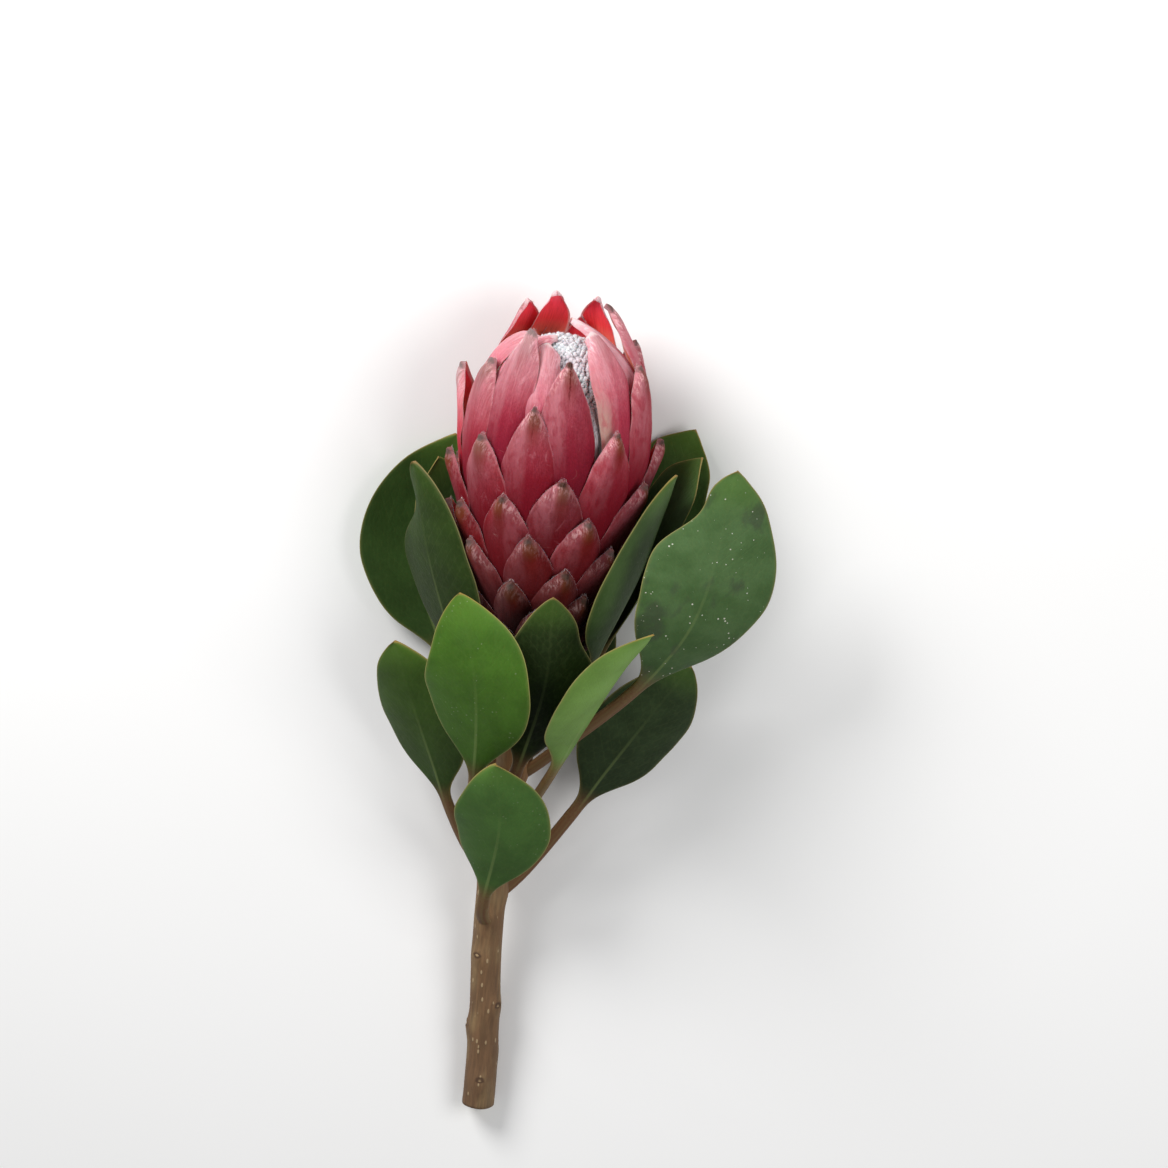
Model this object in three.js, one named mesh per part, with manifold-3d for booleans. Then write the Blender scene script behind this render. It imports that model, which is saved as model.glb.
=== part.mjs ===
// A single cut protea flower, lying on its side as it would on a bench. Millimetres, +Z up.
//
// The flower is modelled standing up, in its own frame: +Z runs along the stem from the cut end to the
// tip, -Y is the front and +X is the right. An azimuth is turned from the front towards the right, in
// degrees. The whole flower is then laid down, front upwards and tip towards +Y.
//
// Pieces: the woody stem; the involucre, which is the receptacle with the overlapping bracts that grow
// from it as one body; the woolly mass of florets that the bracts enclose; and the leaves, each of
// them one leathery blade with its stalk.

import * as THREE from "three";
import { mergeVertices } from "three/addons/utils/BufferGeometryUtils.js";
import Module from "manifold-3d";

// ---------------------------------------------------------------- driving dimensions

const HEAD_FOOT = 200; // height at which the stem ends and the head begins
const HEAD_HEIGHT = 150; // from there to the tips of the inner bracts
const CLEARANCE = 0.3; // gap between pieces that touch

const REST_TILT = 7.1; // degrees that the axis rises towards the head when the flower lies down
const CUT_END = new THREE.Vector3(-9.1, -174.3, 6.65); // where the middle of the cut end then lies

// Bracts: one spiral from the foot of the head to its top.
const BRACTS = 72;
const SMALL_BRACTS = 30; // the lowest of them, made with fewer faces
const DIVERGENCE = 222.5; // azimuth from one bract to the next
const FIRST_AZIMUTH = 210.5; // of the lowest bract
const LAYER = 0.24; // how much deeper each bract lies than the one before it
const BRACT_RISE = 0.72; // height between the feet of two successive bracts
const FIRST_FOOT = 4; // height in the head at which the lowest bract leaves the receptacle
const ROOT_DEPTH = 7; // how far a bract's root runs on inside the receptacle
const LOWEST_ROOT = 0.6; // height in the head that no root lies under
const BRACT_THICK = 0.7; // at the margins
const BRACT_KEEL = 0.45; // how much thicker the middle is
const BRACT_POINT = 1.2; // width at the very tip
const BRACT_SHOULDER = 1.1; // length of the tapering part as a share of the width
const SHOULDER_LIMIT = 0.8; // and at most this share of the length
const COVERED_STEP = 24; // length of the covered part for each ring of points that it is given
const FLARE = 1.3; // how far a tip stands off the bracts behind it
const FLARE_REACH = 10; // length of the part that stands off
const BEND_REACH = 26; // length of the part that bends in, on a bent bract
const MAX_LEAN = 2.5; // how far the tip of a bract that follows the rule may lean round the head
const WIDTH_VARIES = 0.05; // share by which a bract may be wider or narrower than the rule

// [height in the head, radius over the bracts there]
const HEAD_OUTLINE = [
  [0, 11], [7, 17.5], [17, 25], [27, 30.3], [42, 35.2], [62, 38], [87, 40.2],
  [102, 39.2], [115, 36], [127, 31], [137, 26], [144, 21.5], [149, 17], [152, 11],
];
// [bract, height of its tip in the head]
const TIP_HEIGHTS = [
  [0, 14], [10, 30], [20, 45.5], [25, 53], [33, 66.5], [38, 75.5], [41, 82],
  [46, 92.5], [51, 111], [56, 130], [60, 140.5], [65, 147], [71, HEAD_HEIGHT - 0.5],
];
// [bract, width at its widest]
const BRACT_WIDTHS = [[0, 11], [10, 15], [20, 18.5], [33, 22.5], [46, 25], [56, 24], [64, 19], [71, 14]];
// [distance below the tip as a share of the width, share of the width]
const BRACT_SHAPE = [
  [0, 0], [0.13, 0.26], [0.28, 0.48], [0.6, 0.82], [1, 1], [1.6, 0.97], [3.2, 0.82], [5, 0.75],
];
// Bracts that differ from the rule: how far the tip leans round the head, rises, bends in and droops.
const BENT_BRACTS = {
  25: [3, 0, 0, 0], 28: [-9, 0, 0, 0], 43: [6, 1, 0, 0], 52: [0, 4, -4, 0], 53: [0, 14, 0, 0],
  54: [0, -3.5, 0, 0], 56: [4, 2, 0, 0], 57: [0, -4, 1, 0], 59: [-15, -2, 1, 0], 60: [0, 6, 2, 0],
  61: [0, 8, 5, 0], 62: [-6, 0, 3, 0], 63: [0, -6, 1, 0], 64: [-8, 1, 9, 5], 65: [6, 0, 13, 8],
  66: [2, 3, 3, 0], 67: [-12, -6, 10, 6], 68: [-8, 2, 4, 0], 69: [0, -2, 19, 3], 70: [2, -4, 15, 8],
  71: [0, -9, 4, 0],
};

// The receptacle, the solid cone that the bracts and florets grow from.
const RECEPTACLE_HEIGHT = 53;
const RECEPTACLE_STEPS = 6;
const RECEPTACLE_SIDES = 18;

// The woolly florets inside the bracts.
// [height in the head, radius]
const WOOL_OUTLINE = [
  [RECEPTACLE_HEIGHT + CLEARANCE, 23.4], [75, 26.8], [98, 28.6], [110, 27.6], [119, 24.8],
  [127, 20], [132.5, 14], [135.5, 7.5], [136.6, 0],
];
const WOOL_RIM = 106; // height at which the upright sides turn into the dome
// Heights of the rings of points: ribs run up through the first ones, the rest alternate.
const RIB_RINGS = [RECEPTACLE_HEIGHT + CLEARANCE, 72, 94, WOOL_RIM];
const DOME_RINGS = [112, 117, 121.5, 125.5, 129, 132, 134.3, 136];
const WOOL_RIBS = 24; // outermost florets, seen from the side as upright ribs
const RIB_DEPTH = 0.9;
const FLORETS = 30; // florets whose blunt woolly heads stand out of the dome
const FLORET_SIDES = 4;
const FLORET_RADIUS = 2.4;
const FLORET_STANDS = 1.6; // how far a floret's head stands out
const FLORET_FALL = 18; // height from the top of the dome down to the lowest of them
const FLORET_SPREAD = 2.2; // 1 for as many heads low down as at the top, larger for more at the top
const FLORET_LEAN = 0.8; // 0 for a head square to the dome, larger for one that points along the axis

// The stem, its outline as [height, radius].
const STEM_TOP = HEAD_FOOT - CLEARANCE;
const STEM_OUTLINE = [[0, 6.6], [40, 6.2], [100, 6.1], [160, 6.7], [185, 8.2], [STEM_TOP, 10.4]];
const STEM_SWAY = 4.5; // how far the stem bows sideways between its ends
const STEM_SIDES = 12;
const STEM_STEP = 8; // height between two of its rings
const CUSHION = 1.1; // how far the stem swells under a leaf
const CUSHION_BELOW = 3; // height from the middle of the swelling up to the leaf
const CUSHION_LENGTH = 5; // half its length
const CUSHION_NARROWS = 3.5; // how fast it fades round the stem
const CUSHIONS_FADE = [8, 20]; // stretch at the stem's lower and upper end where they fade out
const SCARS = 6; // marks of the leaves that were stripped from the lower stem
const SCAR_RISE = 11; // height between two of them
const FIRST_SCAR = 12;

// Leaves, from the top one down. foot: height and azimuth at which it leaves the stem; past, tip: a
// point that its midrib passes, and its end, as [right, front, height]; blade: length and width;
// faces: the azimuth that its outer face looks to at the foot of the blade and at the tip; cup: how
// far its margins turn away from that side; recurve: how far the last of its tip turns out.
const LEAVES = [
  {
    foot: [180, -118], past: [-36, -25, 232], tip: [-46, -27, 270],
    blade: [84, 34], faces: [-140, -140], cup: 0.1, recurve: 0,
  },
  {
    foot: [176, 136], past: [43, -30.8, 252], tip: [55, -33.8, 292],
    blade: [100, 40], faces: [158, 150], cup: 0.08, recurve: 0,
  },
  {
    foot: [169, 80], past: [36, 21, 240], tip: [48, 15, 291],
    blade: [104, 40], faces: [66, 74], cup: 0.3, recurve: 2,
  },
  {
    foot: [164, -75], past: [-43, 15, 240], tip: [-54, 12, 282],
    blade: [100, 42], faces: [-42, -52], cup: 0.2, recurve: 1,
  },
  {
    foot: [158, 108], past: [43, -7, 245], tip: [57, -8, 290],
    blade: [100, 40], faces: [104, 112], cup: 0.24, recurve: 2,
  },
  {
    foot: [152, 72], past: [61, 37, 234], tip: [72, 36, 304],
    blade: [118, 52], faces: [24, 8], cup: 0.12, recurve: 2,
  },
  {
    foot: [146, -135], past: [-53, -30.4, 233], tip: [-40, -36.4, 277],
    blade: [108, 44], faces: [-164, -164], cup: 0.1, recurve: 0,
  },
  {
    foot: [138, 3], past: [7.5, 40, 206], tip: [6.7, 41, 243],
    blade: [94, 40], faces: [6, 2], cup: 0.2, recurve: 0,
  },
  {
    foot: [131, 172], past: [14, -29, 192], tip: [22, -33, 228],
    blade: [90, 38], faces: [176, 180], cup: 0.04, recurve: 0,
  },
  {
    foot: [125, 30], past: [31, 48, 210], tip: [42, 53, 240],
    blade: [92, 38], faces: [46, 62], cup: 0.34, recurve: 7,
  },
  {
    foot: [117, -40], past: [-20, 48, 206], tip: [-30, 47, 243],
    blade: [100, 44], faces: [-20, -12], cup: 0.14, recurve: 1,
  },
  {
    foot: [108, -102], past: [-42, 14, 174], tip: [-54, 20, 208],
    blade: [88, 38], faces: [-36, -26], cup: 0.16, recurve: 1,
  },
  {
    foot: [98, 112], past: [46, 4, 174], tip: [64, 8, 208],
    blade: [88, 40], faces: [24, 16], cup: 0.12, recurve: 2,
  },
  {
    foot: [86, -14], past: [-4, 36, 140], tip: [-8, 46, 172],
    blade: [84, 38], faces: [-10, -4], cup: 0.22, recurve: 2,
  },
];
// [share of the blade's length, share of its width]
const BLADE_SHAPE = [
  [0, 0], [0.1, 0.12], [0.22, 0.42], [0.36, 0.8], [0.5, 0.98],
  [0.58, 1], [0.7, 0.92], [0.82, 0.68], [0.92, 0.37], [1, 0.03],
];
const BLADE_THICK = 0.9;
const BLADE_TIP = 0.7; // width at the very tip
const BLADE_OPENS = 0.3; // share of the blade over which the stalk widens into it
const STALK_WIDTH = 5.5;
const STALK_THICK = 3.6;
const STALK_ROUND = 0.72; // 0 for a square section, 1 for a fully round one
const STALK_DROPS = 4; // how far the stalk's root lies below the leaf's foot
const STALK_ROOT = 2.5; // how far in from the stem's face the stalk begins
const STALK_BEND = 9; // out and up from there to where the stalk heads for its blade
const STALK_RINGS = 2;
const BLADE_RINGS = 8;
const LEAF_COLUMNS = 4;

// ---------------------------------------------------------------- curves and solids

// A smooth function through hand-set [x, y] points, level beyond both ends.
function through(keys) {
  const slope = keys.map((_, i) => {
    const [x0, y0] = keys[Math.max(i - 1, 0)];
    const [x1, y1] = keys[Math.min(i + 1, keys.length - 1)];
    return (y1 - y0) / (x1 - x0);
  });
  return (x) => {
    if (x <= keys[0][0]) return keys[0][1];
    const i = keys.findIndex((key) => x < key[0]) - 1;
    if (i < 0) return keys[keys.length - 1][1];
    const [x0, y0] = keys[i];
    const [x1, y1] = keys[i + 1];
    const span = x1 - x0;
    const t = (x - x0) / span;
    const ease = t * t * (3 - 2 * t);
    return y0 + (y1 - y0) * ease + span * t * (1 - t) * ((1 - t) * slope[i] - t * slope[i + 1]);
  };
}

// A value from -1 to 1 that looks random but is the same each time.
function chance(number, purpose) {
  const s = Math.sin(number * 12.9898 + purpose * 78.233) * 43758.5453;
  return 2 * (s - Math.floor(s)) - 1;
}

// The direction away from the axis at an azimuth.
function outward(azimuth) {
  const angle = THREE.MathUtils.degToRad(azimuth);
  return new THREE.Vector3(Math.sin(angle), -Math.cos(angle), 0);
}

// The point at an azimuth, a radius and a height.
function around(azimuth, radius, height) {
  return outward(azimuth).multiplyScalar(radius).setZ(height);
}

const wasm = await Module();
wasm.setup();

// A closed three.js geometry as a solid that can be joined and cut.
function solidOf(geometry) {
  const bare = geometry.clone();
  bare.deleteAttribute("normal");
  bare.deleteAttribute("uv");
  const merged = mergeVertices(bare, 1e-4);
  return new wasm.Manifold(
    new wasm.Mesh({
      numProp: 3,
      vertProperties: merged.attributes.position.array,
      triVerts: new Uint32Array(merged.index.array),
    }),
  );
}

function meshOf(solid, name, material) {
  const { vertProperties, triVerts } = solid.getMesh();
  const geometry = new THREE.BufferGeometry();
  geometry.setAttribute("position", new THREE.BufferAttribute(vertProperties, 3));
  geometry.setIndex(new THREE.BufferAttribute(triVerts, 1));
  geometry.computeVertexNormals();
  const mesh = new THREE.Mesh(geometry, material);
  mesh.name = name;
  return mesh;
}

// A closed skin over rings of points, all with the same even number of points. A ring's second half
// mirrors its first, so the two faces of a flat blade are split into triangles alike.
function loft(rings) {
  const count = rings[0].length;
  const half = count / 2;
  const index = [];
  for (let i = 0; i + 1 < rings.length; i++) {
    for (let j = 0; j < count; j++) {
      const a = i * count + j;
      const b = i * count + ((j + 1) % count);
      const c = b + count;
      const d = a + count;
      index.push(...(j < half ? [a, b, c, a, c, d] : [a, b, d, b, c, d]));
    }
  }
  const last = (rings.length - 1) * count;
  for (let j = 0; j + 1 < half; j++) {
    const [a, b, c, d] = [j, j + 1, count - 2 - j, count - 1 - j];
    index.push(a, c, b, a, d, c);
    index.push(last + a, last + b, last + c, last + a, last + c, last + d);
  }
  const geometry = new THREE.BufferGeometry();
  geometry.setFromPoints(rings.flat());
  geometry.setIndex(index);
  return geometry;
}

// ---------------------------------------------------------------- materials

function finish(color, roughness) {
  return new THREE.MeshStandardMaterial({ color, roughness, metalness: 0 });
}

const bractFinish = finish(0xb23a52, 0.62);
const woolFinish = finish(0xd9d8dc, 0.95);
const leafFinish = finish(0x47703a, 0.5);
const stemFinish = finish(0x7a5a3c, 0.7);

// ---------------------------------------------------------------- the head

const headRadius = through(HEAD_OUTLINE);
const tipHeight = through(TIP_HEIGHTS);
const bractWithTipAt = through(TIP_HEIGHTS.map(([bract, height]) => [height, bract]));
const bractWidth = through(BRACT_WIDTHS);
const bractShape = through(BRACT_SHAPE);

// The bracts lie on each other in the order of the spiral: later ones are longer and lie deeper.
function bractRadius(bract, height) {
  return headRadius(height) - LAYER * (bract - bractWithTipAt(height));
}

function receptacle() {
  const profile = [new THREE.Vector2(0, HEAD_FOOT)];
  for (let step = 0; step <= RECEPTACLE_STEPS; step++) {
    const height = (RECEPTACLE_HEIGHT * step) / RECEPTACLE_STEPS;
    const bractThatLeaves = Math.max(height - FIRST_FOOT, 0) / BRACT_RISE;
    profile.push(new THREE.Vector2(bractRadius(bractThatLeaves, height), HEAD_FOOT + height));
  }
  profile.push(new THREE.Vector2(0, HEAD_FOOT + RECEPTACLE_HEIGHT));
  const lathe = new THREE.LatheGeometry(profile, RECEPTACLE_SIDES);
  return lathe.rotateX(Math.PI / 2); // a lathe turns about +Y
}

// Distances below a bract's tip at which it is given rings of points, from its root up.
function bractDepths(length, width, small) {
  const shoulder = Math.min(BRACT_SHOULDER * width, SHOULDER_LIMIT * length);
  const covered = length - shoulder;
  const between = [0.62, 0.3].slice(0, Math.floor(covered / COVERED_STEP));
  const tapering = small ? [1, 0.6, 0.25, 0] : [1, 0.6, 0.32, 0.13, 0];
  return [
    ...[1, ...between].map((share) => shoulder + share * covered),
    ...tapering.map((share) => shoulder * share),
  ];
}

// One bract, from its root inside the receptacle to its tip.
function bract(number) {
  const small = number < SMALL_BRACTS;
  const columns = small ? [-1, 0, 1] : [-1, -0.55, 0, 0.55, 1];
  const width = bractWidth(number) * (1 + WIDTH_VARIES * chance(number, 2));
  const azimuth = FIRST_AZIMUTH + DIVERGENCE * number;
  const [lean, rise, bend, droop] = BENT_BRACTS[number] ?? [MAX_LEAN * chance(number, 1), 0, 0, 0];
  const root = Math.max(FIRST_FOOT + BRACT_RISE * number - ROOT_DEPTH, LOWEST_ROOT);
  const top = tipHeight(number) + rise;
  const rings = bractDepths(top - root, width, small).map((depth) => {
    const share = 1 - depth / (top - root);
    const bent = Math.max(1 - depth / BEND_REACH, 0);
    const flare = FLARE * Math.max(1 - depth / FLARE_REACH, 0);
    const height = HEAD_FOOT + top - depth - droop * bent ** 4;
    const radius = bractRadius(number, top - depth) + flare - bend * bent ** 2;
    const shape = bractShape(depth / width);
    const halfWidth = Math.max(width * shape, BRACT_POINT) / 2;
    const keel = BRACT_KEEL * Math.min(1, 2 * shape);
    const place = (x, lift) => {
      const turn = THREE.MathUtils.radToDeg((x * halfWidth) / Math.max(radius, halfWidth));
      return around(azimuth + lean * share + turn, radius + lift, height);
    };
    const outer = columns.map((x) => place(x, keel * (1 - x * x)));
    const inner = columns.map((x) => place(x, -BRACT_THICK));
    return [...outer, ...inner.reverse()];
  });
  return loft(rings);
}

function involucre() {
  const bracts = Array.from({ length: BRACTS }, (_, number) => solidOf(bract(number)));
  return wasm.Manifold.union([solidOf(receptacle()), ...bracts]);
}

// ---------------------------------------------------------------- the florets

const woolRadius = through(WOOL_OUTLINE);
const WOOL_TOP = WOOL_OUTLINE[WOOL_OUTLINE.length - 1][0];

// The dense mass, ribbed by the outermost florets where they stand upright, knobbly above.
function woolCore() {
  const rings = [...RIB_RINGS, ...DOME_RINGS].map((height, i) => {
    const base = woolRadius(height);
    const relief = RIB_DEPTH * Math.min(1, base / 20);
    const firstThatStands = i < RIB_RINGS.length ? 0 : i % 2;
    const points = [];
    for (let j = 0; j < 2 * WOOL_RIBS; j++) {
      const stands = j % 2 === firstThatStands ? relief : 0;
      points.push(around((180 * j) / WOOL_RIBS, base + stands, HEAD_FOOT + height));
    }
    return points;
  });
  return loft(rings);
}

// One floret's blunt head, on the dome.
function floret(number) {
  const share = Math.sqrt((number + 0.5) / FLORETS);
  const height = WOOL_TOP - FLORET_FALL * share ** FLORET_SPREAD;
  const azimuth = DIVERGENCE * number;
  const slope = (woolRadius(height - 1) - woolRadius(Math.min(height + 1, WOOL_TOP))) / 2;
  const grows = around(azimuth, 1, slope + FLORET_LEAN).normalize();
  const middle = around(azimuth, woolRadius(height), HEAD_FOOT + height);
  const turned = new THREE.Quaternion().setFromUnitVectors(new THREE.Vector3(0, 1, 0), grows);
  const length = 2 * FLORET_STANDS;
  const head = new THREE.CylinderGeometry(FLORET_RADIUS / 2, FLORET_RADIUS, length, FLORET_SIDES);
  return head.applyQuaternion(turned).translate(middle.x, middle.y, middle.z);
}

function florets() {
  const heads = Array.from({ length: FLORETS }, (_, number) => solidOf(floret(number)));
  return wasm.Manifold.union([solidOf(woolCore()), ...heads]);
}

// ---------------------------------------------------------------- the stem

const stemRadius = through(STEM_OUTLINE);

function stemCentre(height) {
  const share = height / HEAD_FOOT;
  const bow = Math.sin(Math.PI * share);
  return new THREE.Vector3(-STEM_SWAY * bow * bow, 0.4 * STEM_SWAY * bow * share, height);
}

// How much of a full cushion there is at a place on the stem: one lies under each leaf and at each
// scar of a leaf that was stripped off. They fade towards both ends of the stem.
function swelling(azimuth, height) {
  const marks = LEAVES.map(({ foot }) => [foot[0] - CUSHION_BELOW, foot[1]]);
  for (let i = 0; i < SCARS; i++) {
    marks.push([FIRST_SCAR + SCAR_RISE * i, -DIVERGENCE * i]);
  }
  const full = marks.reduce((sum, [middle, side]) => {
    const aside = 1 - Math.cos(THREE.MathUtils.degToRad(azimuth - side));
    return sum + Math.exp(-CUSHION_NARROWS * aside - ((height - middle) / CUSHION_LENGTH) ** 2);
  }, 0);
  const { smoothstep } = THREE.MathUtils;
  const [lower, upper] = CUSHIONS_FADE;
  return full * smoothstep(height, 0, lower) * smoothstep(HEAD_FOOT - height, 0, upper);
}

function stem(grown = 0) {
  const rings = [];
  const steps = Math.round(STEM_TOP / STEM_STEP);
  for (let i = 0; i <= steps; i++) {
    const height = (STEM_TOP * i) / steps;
    const points = [];
    for (let side = 0; side < STEM_SIDES; side++) {
      const azimuth = (360 * side) / STEM_SIDES;
      const radius = stemRadius(height) + CUSHION * swelling(azimuth, height) + grown;
      points.push(stemCentre(height).add(around(azimuth, radius, 0)));
    }
    rings.push(points);
  }
  return loft(rings);
}

// ---------------------------------------------------------------- the leaves

const bladeShape = through(BLADE_SHAPE);

// The curve that a leaf's midrib follows, from inside the stem to the tip.
function midrib({ foot: [height, azimuth], past, tip }) {
  const root = stemCentre(height - STALK_DROPS).add(around(azimuth, stemRadius(height) - STALK_ROOT, 0));
  const bend = root.clone().add(around(azimuth, STALK_BEND, STALK_BEND));
  const points = [past, tip].map(([right, front, up]) => new THREE.Vector3(right, -front, up));
  return new THREE.CatmullRomCurve3([root, bend, ...points]);
}

// One leaf: its stalk, round in section, widens into a leathery blade.
function leaf(details) {
  const { blade: [length, width], faces, cup, recurve } = details;
  const rib = midrib(details);
  const stalk = 1 - length / rib.getLength();
  const shares = [];
  for (let i = 0; i < STALK_RINGS; i++) shares.push((i * stalk) / STALK_RINGS);
  for (let i = 0; i <= BLADE_RINGS; i++) shares.push(stalk + (1 - stalk) * (i / BLADE_RINGS) ** 0.9);
  const rings = shares.map((share) => {
    const along = Math.max(share - stalk, 0) / (1 - stalk);
    const opened = THREE.MathUtils.smoothstep(along, 0, BLADE_OPENS);
    const looks = outward(THREE.MathUtils.lerp(faces[0], faces[1], along));
    const heading = rib.getTangentAt(share);
    const across = new THREE.Vector3().crossVectors(heading, looks).normalize();
    const face = new THREE.Vector3().crossVectors(across, heading);
    const middle = rib.getPointAt(share).addScaledVector(looks, recurve * along ** 6);
    const halfWidth = THREE.MathUtils.lerp(STALK_WIDTH, width * bladeShape(along) + BLADE_TIP, opened) / 2;
    const halfThick = THREE.MathUtils.lerp(STALK_THICK, BLADE_THICK, opened) / 2;
    const place = (x, side) => {
      const rounded = Math.sqrt(1 - STALK_ROUND * x * x * (1 - opened));
      const turned = -cup * opened * halfWidth * x * x;
      const point = middle.clone().addScaledVector(across, x * halfWidth);
      return point.addScaledVector(face, turned + side * rounded * halfThick);
    };
    const columns = Array.from({ length: LEAF_COLUMNS + 1 }, (_, j) => (2 * j) / LEAF_COLUMNS - 1);
    const outer = columns.map((x) => place(x, 1));
    const inner = columns.map((x) => place(x, -1));
    return [...outer, ...inner.reverse()];
  });
  return solidOf(loft(rings)).subtract(solidOf(stem(CLEARANCE)));
}

// ---------------------------------------------------------------- the flower

const flower = new THREE.Group();
flower.add(meshOf(solidOf(stem()), "stem", stemFinish));
flower.add(meshOf(involucre(), "involucre", bractFinish));
flower.add(meshOf(florets(), "florets", woolFinish));
LEAVES.forEach((details, i) => {
  const name = `leaf_${String(i + 1).padStart(2, "0")}`;
  flower.add(meshOf(leaf(details), name, leafFinish));
});
flower.rotation.x = THREE.MathUtils.degToRad(REST_TILT - 90);
flower.position.copy(CUT_END);

export default new THREE.Group().add(flower);
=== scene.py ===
"""The looks of one cut protea flower that lies on its back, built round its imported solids.

Shapes are worked out in the flower's own frame, in millimetres, as the solids are: +Z runs along the
stem from the cut end to the tip, -Y is the front, +X is the right, and an azimuth is turned from the
front towards the right, in degrees. laid_down() takes them to the shared frame, in metres.
"""

import math

import bpy
import numpy as np
from mathutils import Matrix, Vector


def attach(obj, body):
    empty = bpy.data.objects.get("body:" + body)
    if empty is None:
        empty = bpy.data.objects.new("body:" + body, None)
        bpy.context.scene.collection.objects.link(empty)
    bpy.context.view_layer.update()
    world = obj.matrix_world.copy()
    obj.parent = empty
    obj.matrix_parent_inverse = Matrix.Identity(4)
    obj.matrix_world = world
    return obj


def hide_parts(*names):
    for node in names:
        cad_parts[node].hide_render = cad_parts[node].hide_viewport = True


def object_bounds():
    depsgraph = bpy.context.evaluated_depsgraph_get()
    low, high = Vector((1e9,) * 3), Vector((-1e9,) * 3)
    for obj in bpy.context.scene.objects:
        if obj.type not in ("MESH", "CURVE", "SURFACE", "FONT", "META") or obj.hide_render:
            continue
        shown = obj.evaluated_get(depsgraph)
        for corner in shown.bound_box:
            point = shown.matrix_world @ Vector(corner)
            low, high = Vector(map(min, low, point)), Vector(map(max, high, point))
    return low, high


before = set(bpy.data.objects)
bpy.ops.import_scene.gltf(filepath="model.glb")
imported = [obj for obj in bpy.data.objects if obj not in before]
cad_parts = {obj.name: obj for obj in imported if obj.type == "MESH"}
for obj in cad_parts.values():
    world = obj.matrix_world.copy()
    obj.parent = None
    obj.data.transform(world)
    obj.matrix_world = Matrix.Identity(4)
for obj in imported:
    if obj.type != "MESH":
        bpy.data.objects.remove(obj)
cad_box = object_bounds()

# ---------------------------------------------------------------- driving dimensions of the solids

HEAD_FOOT = 200  # height at which the stem ends and the head begins
HEAD_HEIGHT = 150
CLEARANCE = 0.3

REST_TILT = 7.1  # degrees that the axis rises towards the head
CUT_END = (-9.1, -174.3, 6.65)  # where the middle of the cut end lies

BRACTS = 72
DIVERGENCE = 222.5
FIRST_AZIMUTH = 210.5
LAYER = 0.24
BRACT_RISE = 0.72
FIRST_FOOT = 4
ROOT_DEPTH = 7
LOWEST_ROOT = 0.6
BRACT_KEEL = 0.45
FLARE = 1.3
FLARE_REACH = 10
BEND_REACH = 26
MAX_LEAN = 2.5
WIDTH_VARIES = 0.05
HEAD_OUTLINE = [
    (0, 11), (7, 17.5), (17, 25), (27, 30.3), (42, 35.2), (62, 38), (87, 40.2),
    (102, 39.2), (115, 36), (127, 31), (137, 26), (144, 21.5), (149, 17), (152, 11),
]
TIP_HEIGHTS = [
    (0, 14), (10, 30), (20, 45.5), (25, 53), (33, 66.5), (38, 75.5), (41, 82),
    (46, 92.5), (51, 111), (56, 130), (60, 140.5), (65, 147), (71, HEAD_HEIGHT - 0.5),
]
BRACT_WIDTHS = [(0, 11), (10, 15), (20, 18.5), (33, 22.5), (46, 25), (56, 24), (64, 19), (71, 14)]
BRACT_SHAPE = [
    (0, 0), (0.13, 0.26), (0.28, 0.48), (0.6, 0.82), (1, 1), (1.6, 0.97), (3.2, 0.82), (5, 0.75),
]
BENT_BRACTS = {  # how far the tip leans round the head, rises, bends in and droops
    25: (3, 0, 0, 0), 28: (-9, 0, 0, 0), 43: (6, 1, 0, 0), 52: (0, 4, -4, 0), 53: (0, 14, 0, 0),
    54: (0, -3.5, 0, 0), 56: (4, 2, 0, 0), 57: (0, -4, 1, 0), 59: (-15, -2, 1, 0), 60: (0, 6, 2, 0),
    61: (0, 8, 5, 0), 62: (-6, 0, 3, 0), 63: (0, -6, 1, 0), 64: (-8, 1, 9, 5), 65: (6, 0, 13, 8),
    66: (2, 3, 3, 0), 67: (-12, -6, 10, 6), 68: (-8, 2, 4, 0), 69: (0, -2, 19, 3), 70: (2, -4, 15, 8),
    71: (0, -9, 4, 0),
}

RECEPTACLE_HEIGHT = 53
WOOL_TOP = 136.6
WOOL_OUTLINE = [
    (RECEPTACLE_HEIGHT + CLEARANCE, 23.4), (75, 26.8), (98, 28.6), (110, 27.6), (119, 24.8),
    (127, 20), (132.5, 14), (135.5, 7.5), (WOOL_TOP, 0),
]

STEM_TOP = HEAD_FOOT - CLEARANCE
STEM_OUTLINE = [(0, 6.6), (40, 6.2), (100, 6.1), (160, 6.7), (185, 8.2), (STEM_TOP, 10.4)]
STEM_SWAY = 4.5
CUSHION = 1.1
CUSHION_BELOW = 3
CUSHION_LENGTH = 5
CUSHION_NARROWS = 3.5
CUSHIONS_FADE = (8, 20)
SCARS = 6
SCAR_RISE = 11
FIRST_SCAR = 12

BLADE_SHAPE = [
    (0, 0), (0.1, 0.12), (0.22, 0.42), (0.36, 0.8), (0.5, 0.98),
    (0.58, 1), (0.7, 0.92), (0.82, 0.68), (0.92, 0.37), (1, 0.03),
]
BLADE_TIP = 0.7
BLADE_OPENS = 0.3
STALK_WIDTH = 5.5
STALK_THICK = 3.6
STALK_ROOT = 2.5
STALK_DROPS = 4
STALK_BEND = 9


def fuller(share):
    """Both margins of a leaf let out near its tip, by a share of the half width."""
    return [(side, 0.9, 0.09, -share) for side in (-1, 1)]


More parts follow.
